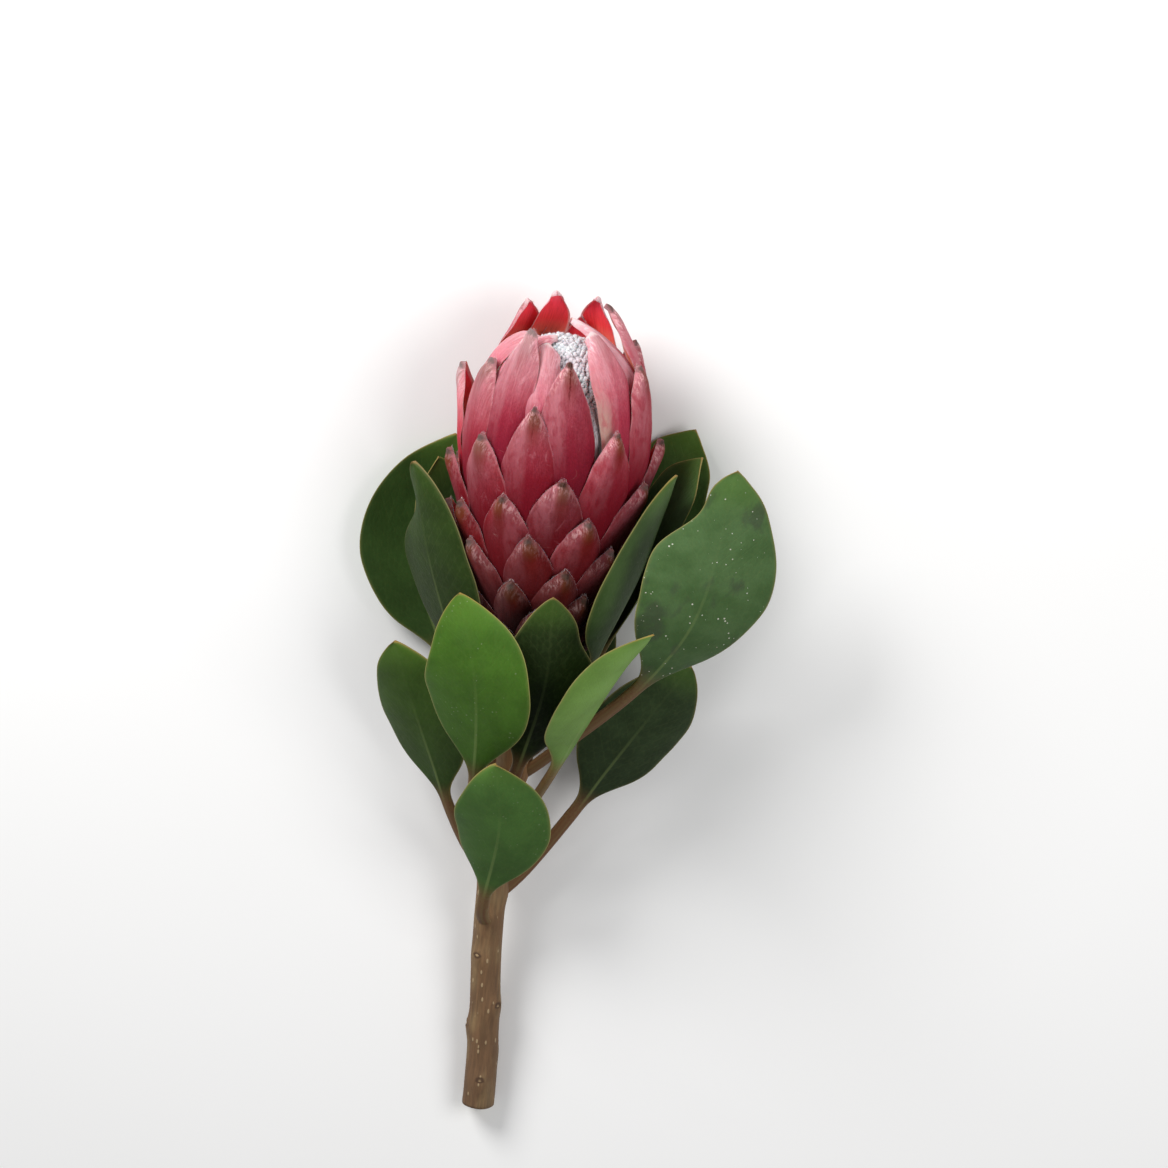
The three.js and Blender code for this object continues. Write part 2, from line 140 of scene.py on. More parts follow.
# Leaves, from the top one down, as in the solids, and how each one looks: tints of its outer and its
# inner face, and amounts from 0 to 1 of grey bloom, of pale specks and of yellow in its margin.
# The tints carry painted light and shade too: leaves that lie in shade, the fourth, eighth and
# thirteenth, are tinted darker than their own green.
# swerve is how far the tip turns aside. pinches draw one margin in or let it out: -1 or 1 for its side,
# where along the blade, how far along the blade it reaches, and the share of the half width lost.
LEAVES = [
    dict(foot=(180, -118), past=(-36, -25, 232), tip=(-46, -27, 270), blade=(84, 34),
         faces=(-140, -140), cup=0.1, tints=(0x42592A, 0x3A5226), look=(0.1, 0, 0.6),
         pinches=fuller(0.3)),
    dict(foot=(176, 136), past=(43, -30.8, 252), tip=(55, -33.8, 292), blade=(100, 40),
         faces=(158, 150), cup=0.08, tints=(0x42592A, 0x3E5629), look=(0.1, 0, 0.9),
         pinches=fuller(0.32)),
    dict(foot=(169, 80), past=(36, 21, 240), tip=(48, 15, 291), blade=(104, 40),
         faces=(66, 74), cup=0.3, recurve=2, swerve=-2.5, tints=(0x3C5426, 0x324822),
         look=(0.3, 0.1, 0.8), pinches=fuller(0.25)),
    dict(foot=(164, -75), past=(-43, 15, 240), tip=(-54, 12, 282), blade=(100, 42),
         faces=(-42, -52), cup=0.2, recurve=1, tints=(0x26380F, 0x20300E), look=(0, 0, 0.2),
         pinches=[(-1, 0.84, 0.13, 0.6)]),
    dict(foot=(158, 108), past=(43, -7, 245), tip=(57, -8, 290), blade=(100, 40),
         faces=(104, 112), cup=0.24, recurve=2, tints=(0x445F34, 0x3E5630), look=(0.2, 0, 0.9),
         pinches=fuller(0.32)),
    dict(foot=(152, 72), past=(61, 37, 234), tip=(72, 36, 304), blade=(118, 52),
         faces=(24, 8), cup=0.12, recurve=2, tints=(0x435F33, 0x385030), look=(0.5, 1, 0.7),
         pinches=[(-1, 0.84, 0.1, 0.42), (1, 0.92, 0.07, -0.12)]),
    dict(foot=(146, -135), past=(-53, -30.4, 233), tip=(-40, -36.4, 277), blade=(108, 44),
         faces=(-164, -164), cup=0.1, tints=(0x46632A, 0x344C20), look=(0, 0, 0.7)),
    dict(foot=(138, 3), past=(7.5, 40, 206), tip=(6.7, 41, 243), blade=(94, 40),
         faces=(6, 2), cup=0.2, tints=(0x1A270A, 0x222F16), look=(0, 0, 0.5),
         pinches=[(1, 0.8, 0.09, 0.22)]),
    dict(foot=(131, 172), past=(14, -29, 192), tip=(22, -33, 228), blade=(90, 38),
         faces=(176, 180), cup=0.04, tints=(0x354A24, 0x2E421E), look=(0.1, 0, 0.5)),
    dict(foot=(125, 30), past=(31, 48, 210), tip=(42, 53, 240), blade=(92, 38),
         faces=(46, 62), cup=0.34, recurve=8, swerve=-3.5, tints=(0x6C9040, 0x4C6832),
         look=(0.2, 0, 0.9), pinches=fuller(0.3)),
    dict(foot=(117, -40), past=(-20, 48, 206), tip=(-30, 47, 243), blade=(100, 44),
         faces=(-20, -12), cup=0.14, recurve=1, tints=(0x3E601C, 0x365218), look=(0, 0.15, 1)),
    dict(foot=(108, -102), past=(-42, 14, 174), tip=(-54, 20, 208), blade=(88, 38),
         faces=(-36, -26), cup=0.16, recurve=1, tints=(0x304812, 0x2A4018), look=(0.05, 0, 0.9),
         pinches=[(-1, 0.86, 0.13, -0.08), (1, 0.9, 0.1, -0.25)]),
    dict(foot=(98, 112), past=(46, 4, 174), tip=(64, 8, 208), blade=(88, 40),
         faces=(24, 16), cup=0.12, recurve=2, tints=(0x26351A, 0x243318), look=(0.1, 0, 0.5)),
    dict(foot=(86, -14), past=(-4, 36, 140), tip=(-8, 46, 172), blade=(84, 38),
         faces=(-10, -4), cup=0.22, recurve=2, tints=(0x40602A, 0x3A5422), look=(0, 0.1, 0.8)),
]

# ---------------------------------------------------------------- curves and frames


def through(keys):
    """A smooth function through (x, y) points, level beyond both ends."""
    x, y = np.array(keys, float).T
    before = np.maximum(np.arange(len(x)) - 1, 0)
    after = np.minimum(np.arange(len(x)) + 1, len(x) - 1)
    slope = (y[after] - y[before]) / (x[after] - x[before])

    def value(at):
        i = np.clip(np.searchsorted(x, at, side="right") - 1, 0, len(x) - 2)
        span = x[i + 1] - x[i]
        t = np.clip((at - x[i]) / span, 0, 1)
        ease = t * t * (3 - 2 * t)
        bow = (1 - t) * slope[i] - t * slope[i + 1]
        return y[i] + (y[i + 1] - y[i]) * ease + span * t * (1 - t) * bow

    return value


def chance(number, purpose):
    """A value from -1 to 1 that looks random but is the same each time."""
    s = np.sin(number * 12.9898 + purpose * 78.233) * 43758.5453
    return 2 * (s - np.floor(s)) - 1


def smoothstep(value, low, high):
    t = np.clip((value - low) / (high - low), 0, 1)
    return t * t * (3 - 2 * t)


def lerp(a, b, t):
    return a + (b - a) * t


def bell(distance, reach):
    """1 at no distance, falling smoothly to nearly 0 at twice the reach."""
    return np.exp(-((distance / reach) ** 2))


def stray(number, purpose):
    """A vector that may point anywhere, for each number. It takes up three purposes."""
    return np.stack([chance(number, purpose + i) for i in range(3)], axis=-1)


def points(x, y, z):
    """Coordinates of any shapes that fit each other, as one array of points."""
    return np.stack(np.broadcast_arrays(x, y, z), axis=-1).astype(float)


def around(azimuth, radius, height):
    angle = np.radians(azimuth)
    return points(radius * np.sin(angle), -radius * np.cos(angle), height)


def all_round(count):
    """A row of azimuths at even distances."""
    return np.linspace(0, 360, count, endpoint=False)[None, :]


def places_across(count):
    """A row of places across a blade, from -1 to 1, closest together at its margins."""
    return np.sin(np.linspace(-np.pi / 2, np.pi / 2, count))[None, :]


def unit(vectors):
    return vectors / np.linalg.norm(vectors, axis=-1, keepdims=True)


def laid_down(local):
    """Points of the flower's own frame, in the shared frame and in metres."""
    turn = Matrix.Rotation(math.radians(REST_TILT - 90), 3, "X")
    return (local @ np.array(turn).T + np.array(CUT_END)) / 1000


# ---------------------------------------------------------------- meshes

FACES = np.arange(2)[:, None, None]  # 0 on a blade's outer face, 1 on its inner face
# A hair's rings of points: share of its length, and share of its full thickness.
HAIR_RINGS = ((0, 1), (0.55, 0.7))


def place_object(name, data):
    thing = bpy.data.objects.new(name, data)
    bpy.context.scene.collection.objects.link(thing)
    return thing


def on_points(local, **values):
    """Each value once for every point of local."""
    return {key: np.broadcast_to(value, local.shape[:-1]).ravel() for key, value in values.items()}


def make_piece(name, local, faces, paint, slot, nodes=(), **values):
    """A smooth mesh piece of the flower, with values on its points for its material to read."""
    mesh = bpy.data.meshes.new(name)
    mesh.from_pydata(laid_down(local).tolist(), [], faces)
    mesh.polygons.foreach_set("use_smooth", [True] * len(mesh.polygons))
    for key, value in values.items():
        value = np.asarray(value, np.float32)
        kind = "FLOAT_VECTOR" if value.ndim == 2 else "FLOAT"
        field = "vector" if value.ndim == 2 else "value"
        mesh.attributes.new(key, kind, "POINT").data.foreach_set(field, value.ravel())
    mesh.materials.append(paint)
    piece = place_object(name, mesh)
    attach(piece, "root")
    if nodes:
        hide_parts(*nodes)


def blade_faces(rows, columns, start=0):
    """Quads of a closed blade: an outer grid of points, then an inner grid under it."""
    outer = start + np.arange(rows * columns).reshape(rows, columns)
    inner = outer + rows * columns

    def grid(a):
        return np.stack([a[:-1, :-1], a[:-1, 1:], a[1:, 1:], a[1:, :-1]], axis=-1).reshape(-1, 4)

    def wall(a, b):
        return np.stack([a[:-1], a[1:], b[1:], b[:-1]], axis=-1)

    return np.concatenate([
        grid(outer),
        grid(inner)[:, ::-1],
        wall(inner[0], outer[0]),
        wall(outer[-1], inner[-1]),
        wall(outer[:, 0], inner[:, 0]),
        wall(inner[:, -1], outer[:, -1]),
    ])


def tube_faces(rings, sides, start=0):
    """Quads and two end faces of a closed tube, its points given ring by ring."""
    index = start + np.arange(rings * sides).reshape(rings, sides)
    beside = np.roll(index, -1, axis=1)
    walls = np.stack([index[:-1], beside[:-1], beside[1:], index[1:]], axis=-1).reshape(-1, 4)
    return walls.tolist() + [index[0, ::-1].tolist(), index[-1].tolist()]


def make_hairs(name, roots, heading, lengths, thickness, sag, paint, slot):
    """A piece of bent three-sided spikes, all alike in build."""
    side = unit(np.cross(heading, unit(heading[:, [1, 2, 0]] + 0.3)))
    other = np.cross(heading, side)
    local = []
    for share, girth in HAIR_RINGS:
        middle = roots + heading * (lengths * share)[:, None] + sag * share**2
        for angle in (0, 2 * math.pi / 3, 4 * math.pi / 3):
            local.append(middle + thickness * girth * (math.cos(angle) * side + math.sin(angle) * other))
    local.append(roots + heading * lengths[:, None] + sag)
    local = np.stack(local, axis=1).reshape(-1, 3)
    walls = np.array([(0, 1, 4, 3), (1, 2, 5, 4), (2, 0, 3, 5)])
    ends = np.array([(3, 4, 6), (4, 5, 6), (5, 3, 6), (2, 1, 0)])
    first = 7 * np.arange(len(roots))[:, None, None]
    faces = (walls + first).reshape(-1, 4).tolist() + (ends + first).reshape(-1, 3).tolist()
    along = np.tile([0, 0, 0, 0.5, 0.5, 0.5, 1], len(roots))
    make_piece(name, local, faces, paint, slot, along=along, grain=local)


# ---------------------------------------------------------------- materials


def rgb(code):
    """A colour written 0xRRGGBB, as the linear values that nodes take."""
    parts = [(code >> shift & 255) / 255 for shift in (16, 8, 0)]
    return [c / 12.92 if c <= 0.04045 else ((c + 0.055) / 1.055) ** 2.4 for c in parts] + [1]


class Paint:
    """One material, made node by node. Most methods add a node and return the value that it gives.
    """

    def __init__(self, name, **constants):
        self.material = bpy.data.materials.new(name)
        self.material.use_nodes = True
        self.tree = self.material.node_tree
        self.shader = self.tree.nodes["Principled BSDF"]
        self.attributes = {}
        self.colour = None
        for socket, value in constants.items():
            self.shader.inputs[socket.replace("_", " ")].default_value = value

    def add(self, kind, inputs, out=0, **settings):
        node = self.tree.nodes.new(kind)
        for key, value in settings.items():
            setattr(node, key, value)
        for key, value in inputs.items():
            self.feed(node.inputs[key], value)
        return node.outputs[out]

    def feed(self, socket, value):
        """Gives a socket another node's output, the points' values of that name, a colour or a number."""
        if isinstance(value, str):
            value = self.attribute(value, "Fac" if socket.type == "VALUE" else "Vector")
        if isinstance(value, bpy.types.NodeSocket):
            self.tree.links.new(value, socket)
        else:
            socket.default_value = rgb(value) if socket.type == "RGBA" else value

    def attribute(self, name, out):
        if (name, out) not in self.attributes:
            self.attributes[name, out] = self.add("ShaderNodeAttribute", {}, out, attribute_name=name)
        return self.attributes[name, out]

    def math(self, operation, a, b=0.0):
        return self.add("ShaderNodeMath", {0: a, 1: b}, operation=operation)

    def plus(self, a, b):
        return self.math("ADD", a, b)

    def centred(self, noise):
        """A noise's value, moved to lie about 0."""
        return self.math("SUBTRACT", noise, 0.5)

    def times(self, *values):
        product = values[0]
        for value in values[1:]:
            product = self.math("MULTIPLY", product, value)
        return product

    def step(self, value, low, high, to_low=0.0, to_high=1.0):
        """Goes smoothly from to_low to to_high as value goes from low to high, which may be lower."""
        inputs = {0: value, 1: low, 2: high, 3: to_low, 4: to_high}
        return self.add("ShaderNodeMapRange", inputs, interpolation_type="SMOOTHSTEP")

    def mix(self, factor, a, b):
        """Colour a where the factor is 0, b where it is 1. The numbers are those of the colour sockets."""
        return self.add("ShaderNodeMix", {0: factor, 6: a, 7: b}, out=2, data_type="RGBA")

    def shade(self, colour, brightness):
        """The colour made darker or brighter."""
        return self.add("ShaderNodeHueSaturation", {"Value": brightness, "Color": colour})

    def tone(self, brightness):
        """Makes the colour so far darker or brighter."""
        self.colour = self.shade(self.colour, brightness)

    def lay(self, colour, *shares):
        """Covers the colour so far with another one, by the product of the shares."""
        self.colour = self.mix(self.times(*shares), self.colour, colour)

    def stretched(self, scale, vector):
        inputs = {0: vector, 1: tuple(np.broadcast_to(scale, 3))}
        return self.add("ShaderNodeVectorMath", inputs, operation="MULTIPLY")

    def noise(self, scale, detail=3.0, roughness=0.5, distortion=0.0, vector="grain"):
        """Cloudy values from 0 to 1. scale is one number, or one for each direction of the vector."""
        inputs = {
            "Vector": self.stretched(scale, vector), "Scale": 1.0, "Detail": detail,
            "Roughness": roughness, "Distortion": distortion,
        }
        return self.add("ShaderNodeTexNoise", inputs)

    def cells(self, scale):
        """Distance to the nearest of many scattered points."""
        return self.add("ShaderNodeTexVoronoi", {"Vector": self.stretched(scale, "grain"), "Scale": 1.0})

    def ramp(self, value, stops):
        node = self.tree.nodes.new("ShaderNodeValToRGB")
        self.feed(node.inputs[0], value)
        elements = node.color_ramp.elements
        while len(elements) < len(stops):
            elements.new(1)
        for element, (place, code) in zip(elements, stops):
            element.position = place
            element.color = rgb(code)
        return node.outputs[0]

    def bump(self, height, depth):
        """Relief that goes as deep as that, in millimetres, on top of any there is."""
        inputs = {"Strength": 1.0, "Distance": depth / 1000, "Height": height}
        normal = self.shader.inputs["Normal"]
        if normal.is_linked:
            inputs["Normal"] = normal.links[0].from_socket
        self.feed(normal, self.add("ShaderNodeBump", inputs))

    def finish(self, roughness=None):
        self.feed(self.shader.inputs["Base Color"], self.colour)
        if roughness is not None:
            self.feed(self.shader.inputs["Roughness"], roughness)
        return self.material


def bract_paint():
    """Deep wine red under a dusty silky bloom, rosier up the head, with dry brown tips and pale margins.
    Painted shade darkens the lower bracts and the foot of each; painted light brightens one half near the
    tips.
    """
    paint = Paint(
        "bract", Sheen_Weight=0.06, Sheen_Roughness=0.5, Subsurface_Weight=0.12, Subsurface_Scale=0.0012,
        Sheen_Tint=rgb(0xE8A0AC), Specular_IOR_Level=0.05,
    )
    step, times, plus = paint.step, paint.times, paint.plus
    down = times("below", step("rank", 0.62, 0.82, 1, 0.75))

    streaks = paint.noise((1.6, 0.12, 1), detail=5, roughness=0.6)
    felt = paint.noise((1.7, 0.8, 1), detail=5, roughness=0.75)
    mottle = paint.noise((0.42, 0.16, 1), detail=3, distortion=0.4)
    patches = paint.noise((0.13, 0.06, 1), detail=2)

    # Darker down the head by rank: partly the lower bracts' own deeper wine, partly painted shade of the
    # leaves round the foot of the head.
    deep = paint.ramp("rank", [
        (0, 0x240B08), (0.28, 0x340D0A), (0.4, 0x4E0C0C), (0.52, 0x640D12), (0.66, 0x7E111D),
        (0.78, 0x96182B), (0.88, 0xB02A42), (1, 0xC64860),
    ])
    dusty = paint.ramp("rank", [
        (0, 0x3C1812), (0.28, 0x4E1C16), (0.4, 0x682422), (0.52, 0x802C30), (0.66, 0x943642),
        (0.78, 0xA84050), (0.88, 0xC25868), (1, 0xDA7C8A),
    ])
    veil = paint.ramp("rank", [
        (0, 0x3E1C18), (0.28, 0x5C2A28), (0.45, 0x7C4246), (0.62, 0xA05C64), (0.8, 0xBE7A82), (1, 0xD8A0A8),
    ])

    # The ground colour: dusty above, deep below and towards the margins, deepest at the foot. Deep below
    # and towards the margins is partly the bracts' own colour and partly painted shade where each goes under
    # the bracts in front and into the grooves between them; the deepening at the foot is painted shade.
    upper = step(plus(down, times(paint.centred(patches), 34.0)), 38, 3)
    cover = plus(step(mottle, 0.3, 0.7, 0.25, 0.75), step(felt, 0.3, 0.7, -0.2, 0.2))
    paint.colour = deep
    paint.lay(dusty, upper, cover, step("edge", 0.2, 5.5, 0.05, 1))
    # Painted shade at the foot of each bract, under the bracts in front.
    paint.lay(paint.shade(deep, 0.5), step(down, 9, 40, 0, 0.75))
    paint.tone(plus(step(streaks, 0.3, 0.7, 0.94, 1.06), times("luck", 0.07)))
    paint.tone(step(felt, 0.3, 0.7, 0.85, 1.15))
    # Each bract's brightness from SHADES: partly its own tone, partly painted light and shade.
    paint.tone("bright")

    # Bloom in patches, smears of it, and more of it on the side that is turned to the light. That paler half
    # and the lit slope near the tip, mostly on the left, are partly bloom and partly painted light.
    paint.lay(veil, step(patches, 0.42, 0.68), step(felt, 0.25, 0.75), step("below", 30, 8), 0.4)
    smear = paint.noise((0.22, 0.1, 1.3), detail=5, roughness=0.7, distortion=0.8)
    paint.lay(veil, step(smear, 0.55, 0.68), step("below", 40, 15), step("edge", 0.5, 3), 0.35)
    # Painted light: the half turned to the lamp is paler, besides its bloom.
    paint.lay(veil, step("right", 0.5, -2), step(down, 38, 8), step(mottle, 0.3, 0.6, 0.3, 1), 0.42)
    # Painted highlight on the lit slope near the tip.
    paint.lay(veil, step("right", 0.6, -0.2), step("below", 15, 4), step(streaks, 0.3, 0.6, 0.3, 1), 0.35)

    # The rusty ridge behind the tip.
    wobble = times(paint.centred(mottle), 3.0)
    ridge = paint.math("ABSOLUTE", plus(paint.math("SUBTRACT", "right", 0.9), wobble))
    rust = times(step(ridge, 3.8, 1.2), step("below", 21, 6), step("rank", 1, 0.75, 0.2))
    olive = paint.mix(step("below", 11, 3), 0x74180F, 0x6A3820)
    # The rust is dimmed on the lower bracts, along with the painted shade there.
    paint.lay(paint.shade(olive, step("rank", 0.25, 0.62, 0.5, 1)), rust, step(felt, 0.25, 0.6, 0.55, 0.95))

    # Silvery hairs, fine scratches and the white silk of the top bracts. The silvery hairs are partly their
    # own pale colour and partly painted highlight, most of it on the left half, and dimmer on the lower
    # bracts.
    hairs = paint.noise((0.95, 0.32, 1), detail=5, roughness=0.8, distortion=0.5)
    sides = plus(step("right", 1.5, -1, 0.35, 1), times("silk", 0.5))
    # Darker on the lower bracts, along with the painted shade there.
    silvery = paint.shade(0xE2C6C2, step("rank", 0.2, 0.85, 0.48, 1))
    silvery = paint.mix(0.55, paint.shade(veil, 1.75), silvery)
    paint.lay(silvery, step(hairs, 0.46, 0.6), step("edge", 4.5, 1), step("below", 15, 4), sides, 0.8)
    swirl = paint.noise((0.05, 0.07, 2.1), detail=0, distortion=0.8)
    scratch = step(paint.math("ABSOLUTE", paint.centred(swirl)), 0.003, 0.001)
    paint.lay(0xD0A49C, scratch, step(patches, 0.57, 0.66), 0.22)
    paint.lay(0xEBCED3, "silk", step(down, 26, 1), step(streaks, 0.25, 0.65, 0.45, 1), 0.5)

    # A cracked midline and a faded patch, on the bracts that have one.
    ragged = plus(times(wobble, 0.6), times(paint.centred(felt), 2.0))
    line = paint.math("ABSOLUTE", plus(paint.math("SUBTRACT", "right", 0.8), ragged))
    paint.lay(0x4E0E0C, step(line, 0.34, 0.14), step("below", 17, 9), "crack", 0.85)
    paint.lay(0xB2A090, "faded", step(mottle, 0.3, 0.6, 0.35, 0.75))

    # Pale margins, the dry tip and dark specks.
    worn = step(mottle, 0.35, 0.65, 0.2, 1)
    paint.lay(paint.shade(veil, 1.2), step("edge", 0.8, 0.3), step("below", 32, 8), worn, 0.6)
    streaked = step(streaks, 0.35, 0.6, 0.2, 1)
    paint.lay(paint.shade(veil, 1.25), step("edge", 1.4, 0.2), step("below", 9, 2), streaked, 0.5)
    dry = step(plus("below", times(paint.centred(felt), 3.5)), 3, 1.4)
    paint.lay(paint.mix("dryness", 0xDCC4C4, 0x32261A), dry, step("edge", 0, 0.5, 0.5, 1), 0.85)
    specks = step(paint.cells((0.5, 0.5, 0)), 0.14, 0.08)
    paint.lay(0x55231C, specks, step(patches, 0.5, 0.62), step("rank", 0.8, 0.7), 0.35)

    # The inner face's own red, fading to cream at the foot, made brighter and redder low down as painted
    # light shining through the thin bract.
    lining = paint.ramp(paint.math("DIVIDE", "below", 60.0), [
        (0, 0xFF7482), (0.1, 0xFF4A5C), (0.24, 0xFF4C50), (0.36, 0xFF806C), (0.7, 0xEFD0A8), (1, 0xDCC6A0),
    ])
    lining = paint.shade(lining, step(streaks, 0.3, 0.7, 0.88, 1.1))
    lining = paint.mix(step("edge", 1.3, 0.2, 0, 0.8), lining, 0xEBC4C0)
    paint.lay(lining, "inside")

    paint.bump(streaks, 0.12)
    paint.bump(felt, 0.16)
    return paint.finish(step(felt, 0.2, 0.8, 0.5, 0.68))


def hair_paint(name, root, tip):
    """Fine silky hairs, of one colour at the root and another at the tip."""
    paint = Paint(name, Roughness=0.8, Subsurface_Weight=0.5, Subsurface_Scale=0.001, Specular_IOR_Level=0.2)
    paint.colour = paint.mix("along", root, tip)
    paint.tone(paint.step(paint.noise(0.4, detail=1), 0.3, 0.7, 0.85, 1.1))
    return paint.finish()


def wool_paint():
    """Dense cool white wool on the florets, a little pinker and darker between them, as painted shade."""
    paint = Paint(
        "wool", Roughness=0.92, Sheen_Weight=0.6, Sheen_Roughness=0.6, Subsurface_Weight=0.35,
        Subsurface_Radius=(1, 0.75, 0.8), Subsurface_Scale=0.0015, Specular_IOR_Level=0.1,
    )
    curls = paint.noise(1.6, detail=6, roughness=0.7)
    tufts = paint.noise(0.35, detail=2)
    patches = paint.noise(0.09, detail=2)
    paint.colour = paint.mix(paint.step(tufts, 0.35, 0.65), 0xF0F3F5, 0xD3DADF)
    paint.tone(paint.step(curls, 0.3, 0.7, 0.85, 1.08))
    paint.lay(0xCFA9B6, paint.step(patches, 0.4, 0.6, 0.05, 0.42))
    # Painted shade down each floret's sides, between their heads.
    paint.lay(0xA2949C, paint.step("below", 1.2, 4.5, 0, 0.7))
    paint.bump(curls, 0.5)
    return paint.finish()


def silk_paint():
    """The long silvery silk of the outer florets, seen in the slit between two bracts."""
    paint = Paint("silk", Roughness=0.55, Specular_IOR_Level=0.4)
    strands = paint.noise((2.2, 2.2, 0.15), detail=4, roughness=0.65)
    paint.colour = paint.ramp(strands, [(0.3, 0x8A8084), (0.45, 0xC0B8BE), (0.6, 0xE8E2E6), (0.75, 0xF8F4F6)])
    # Painted shade in the grooves between the outermost florets.
    paint.lay(0x5A484E, paint.step("below", 1, 2.6, 0, 0.5))
    paint.bump(strands, 0.4)
    return paint.finish()


def receptacle_paint():
    """The tough brown-green flesh under the lowest bracts."""
    paint = Paint("receptacle", Roughness=0.7)
    fibres = paint.noise((1.2, 1.2, 0.15), detail=4)
    paint.colour = paint.mix(paint.step(fibres, 0.35, 0.65), 0x5B3A26, 0x6F5232)
    paint.bump(fibres, 0.3)
    return paint.finish()


def leaf_paint():
    """A leathery leaf: fine net of veins, pale midrib, thin tan margin, fresh tip, reddish stalk."""
    paint = Paint("leaf", Subsurface_Weight=0.05, Subsurface_Scale=0.001, Specular_IOR_Level=0.15)
    step, times = paint.step, paint.times

    mottle = paint.noise(0.09, detail=3)
    leather = paint.noise(1.1, detail=5, roughness=0.65)
    paint.colour = "tint"
    paint.tone(step(mottle, 0.3, 0.7, 0.88, 1.12))
    paint.tone(step(leather, 0.3, 0.7, 0.93, 1.06))
    # Painted shade: the blade is darker towards its foot, among the other leaves.
    paint.tone(step("along", 0, 0.75, 0.72, 1.06))
    paint.lay(0x74A03C, step("along", 0.8, 0.98, 0, 0.32), "yellow")
    paint.lay(0x66745A, "bloom", step(mottle, 0.35, 0.7, 0.05, 0.3))

    vein = paint.math("PINGPONG", "vein", 0.5)
    net = paint.cells((0.75, 0.45, 0.75))
    side_veins = times(step(vein, 0.09, 0.01), step("edge", 1.5, 6), step("stalk", 0.7, 0))
    paint.lay(0x869A5C, side_veins, 0.015)
    paint.lay(0x869A5C, step(net, 0.5, 0.8), 0.025)
    paint.lay(0x8A9A5E, step("aside", 0.9, 0.3), step("along", 0.75, 0.1, 0.02, 0.32))

    smear = paint.noise((0.09, 0.045, 0.09), detail=4)
    paint.lay(0x3A3B34, "specks", step(smear, 0.54, 0.66), 0.5)
    size = step(paint.noise(0.1, detail=1), 0.42, 0.68, 0.03, 0.15)
    paint.lay(0xD3D0C2, paint.math("LESS_THAN", paint.cells(0.42), size), "specks", 0.85)

    rim = paint.mix("yellow", 0x746C4A, 0x9A9458)
    rim = paint.mix(times(step("along", 0.75, 1), "yellow", 0.5), rim, 0xA87838)
    paint.lay(rim, step("edge", 1.6, 0.3), 0.15)
    paint.lay(rim, step("edge", 0.36, 0.16), 0.75)
    paint.lay(0x8A5A34, step("along", 0.985, 1, 0, 0.4))
    stalk_colour = paint.mix(step(leather, 0.35, 0.65), 0x6E4630, 0x74583A)
    paint.lay(stalk_colour, step("stalk", 0.2, 1, 0, 0.85))

    paint.bump(side_veins, 0.03)
    paint.bump(net, 0.05)
    paint.bump(leather, 0.07)
    return paint.finish(step(leather, 0.2, 0.8, 0.5, 0.64))


def stem_paint():
    """Thin brown bark, redder towards the head, with pores, leaf scars and a sawn end."""
    paint = Paint("stem", Specular_IOR_Level=0.35)
    step = paint.step
    fibres = paint.noise((0.9, 0.9, 0.07), detail=5, roughness=0.6)
    patches = paint.noise((0.12, 0.12, 0.05), detail=3)
    paint.colour = paint.ramp(paint.math("DIVIDE", "height", HEAD_FOOT), [
        (0, 0x6B5038), (0.5, 0x75573A), (0.8, 0x84603C), (1, 0x7A4A36),
    ])
    paint.lay(0x8A7350, step(patches, 0.45, 0.7, 0, 0.6))
    paint.tone(step(fibres, 0.3, 0.7, 0.75, 1.15))
    pores = step(paint.cells((0.34, 0.34, 0.153)), 0.2, 0.12)
    paint.lay(0xB39B77, pores, 0.7)
    paint.lay(0x4A3424, step("scar", 0.1, 0.4, 0, 0.9))
    paint.lay(0xA98F6A, step("scar", 0.55, 0.75, 0, 0.9))
    rings = paint.noise((1.5, 1.5, 0), detail=5)
    wood = paint.ramp("cut", [
        (0, 0xC9B78C), (0.2, 0xC4AE80), (0.26, 0xD9C79C), (0.8, 0xD3BE90), (0.9, 0xA9AA6C), (1, 0x6B5038),
    ])
    paint.lay(paint.shade(wood, step(rings, 0.3, 0.7, 0.82, 1.1)), "sawn")
    paint.bump(fibres, 0.35)
    paint.bump(pores, 0.2)
    return paint.finish(step(fibres, 0.3, 0.7, 0.62, 0.8))


def floor_paint():
    paint = Paint("floor", Specular_IOR_Level=0.2, Roughness=0.75)
    place = paint.add("ShaderNodeTexCoord", {}, out="Object")
    paint.colour = paint.mix(paint.noise(3, detail=2, vector=place), 0xF0EFED, 0xF5F4F3)
    return paint.finish()


# ---------------------------------------------------------------- the bracts

head_radius = through(HEAD_OUTLINE)
tip_height = through(TIP_HEIGHTS)
bract_with_tip_at = through([(height, bract) for bract, height in TIP_HEIGHTS])
bract_width = through(BRACT_WIDTHS)
bract_shape = through(BRACT_SHAPE)

BRACT_ROWS = 56
BRACT_COLUMNS = 25
ROWS_CROWD = 1.6  # power by which the rows crowd towards the tip
TIERS = ("lower", "middle", "upper")  # pieces that the bracts are made as
TIP_BLUNT = 1.0  # radius of a bract's blunt tip
TIP_BLUNT_VARIES = 0.35
NARROWEST = 0.12  # half the width at the very tip
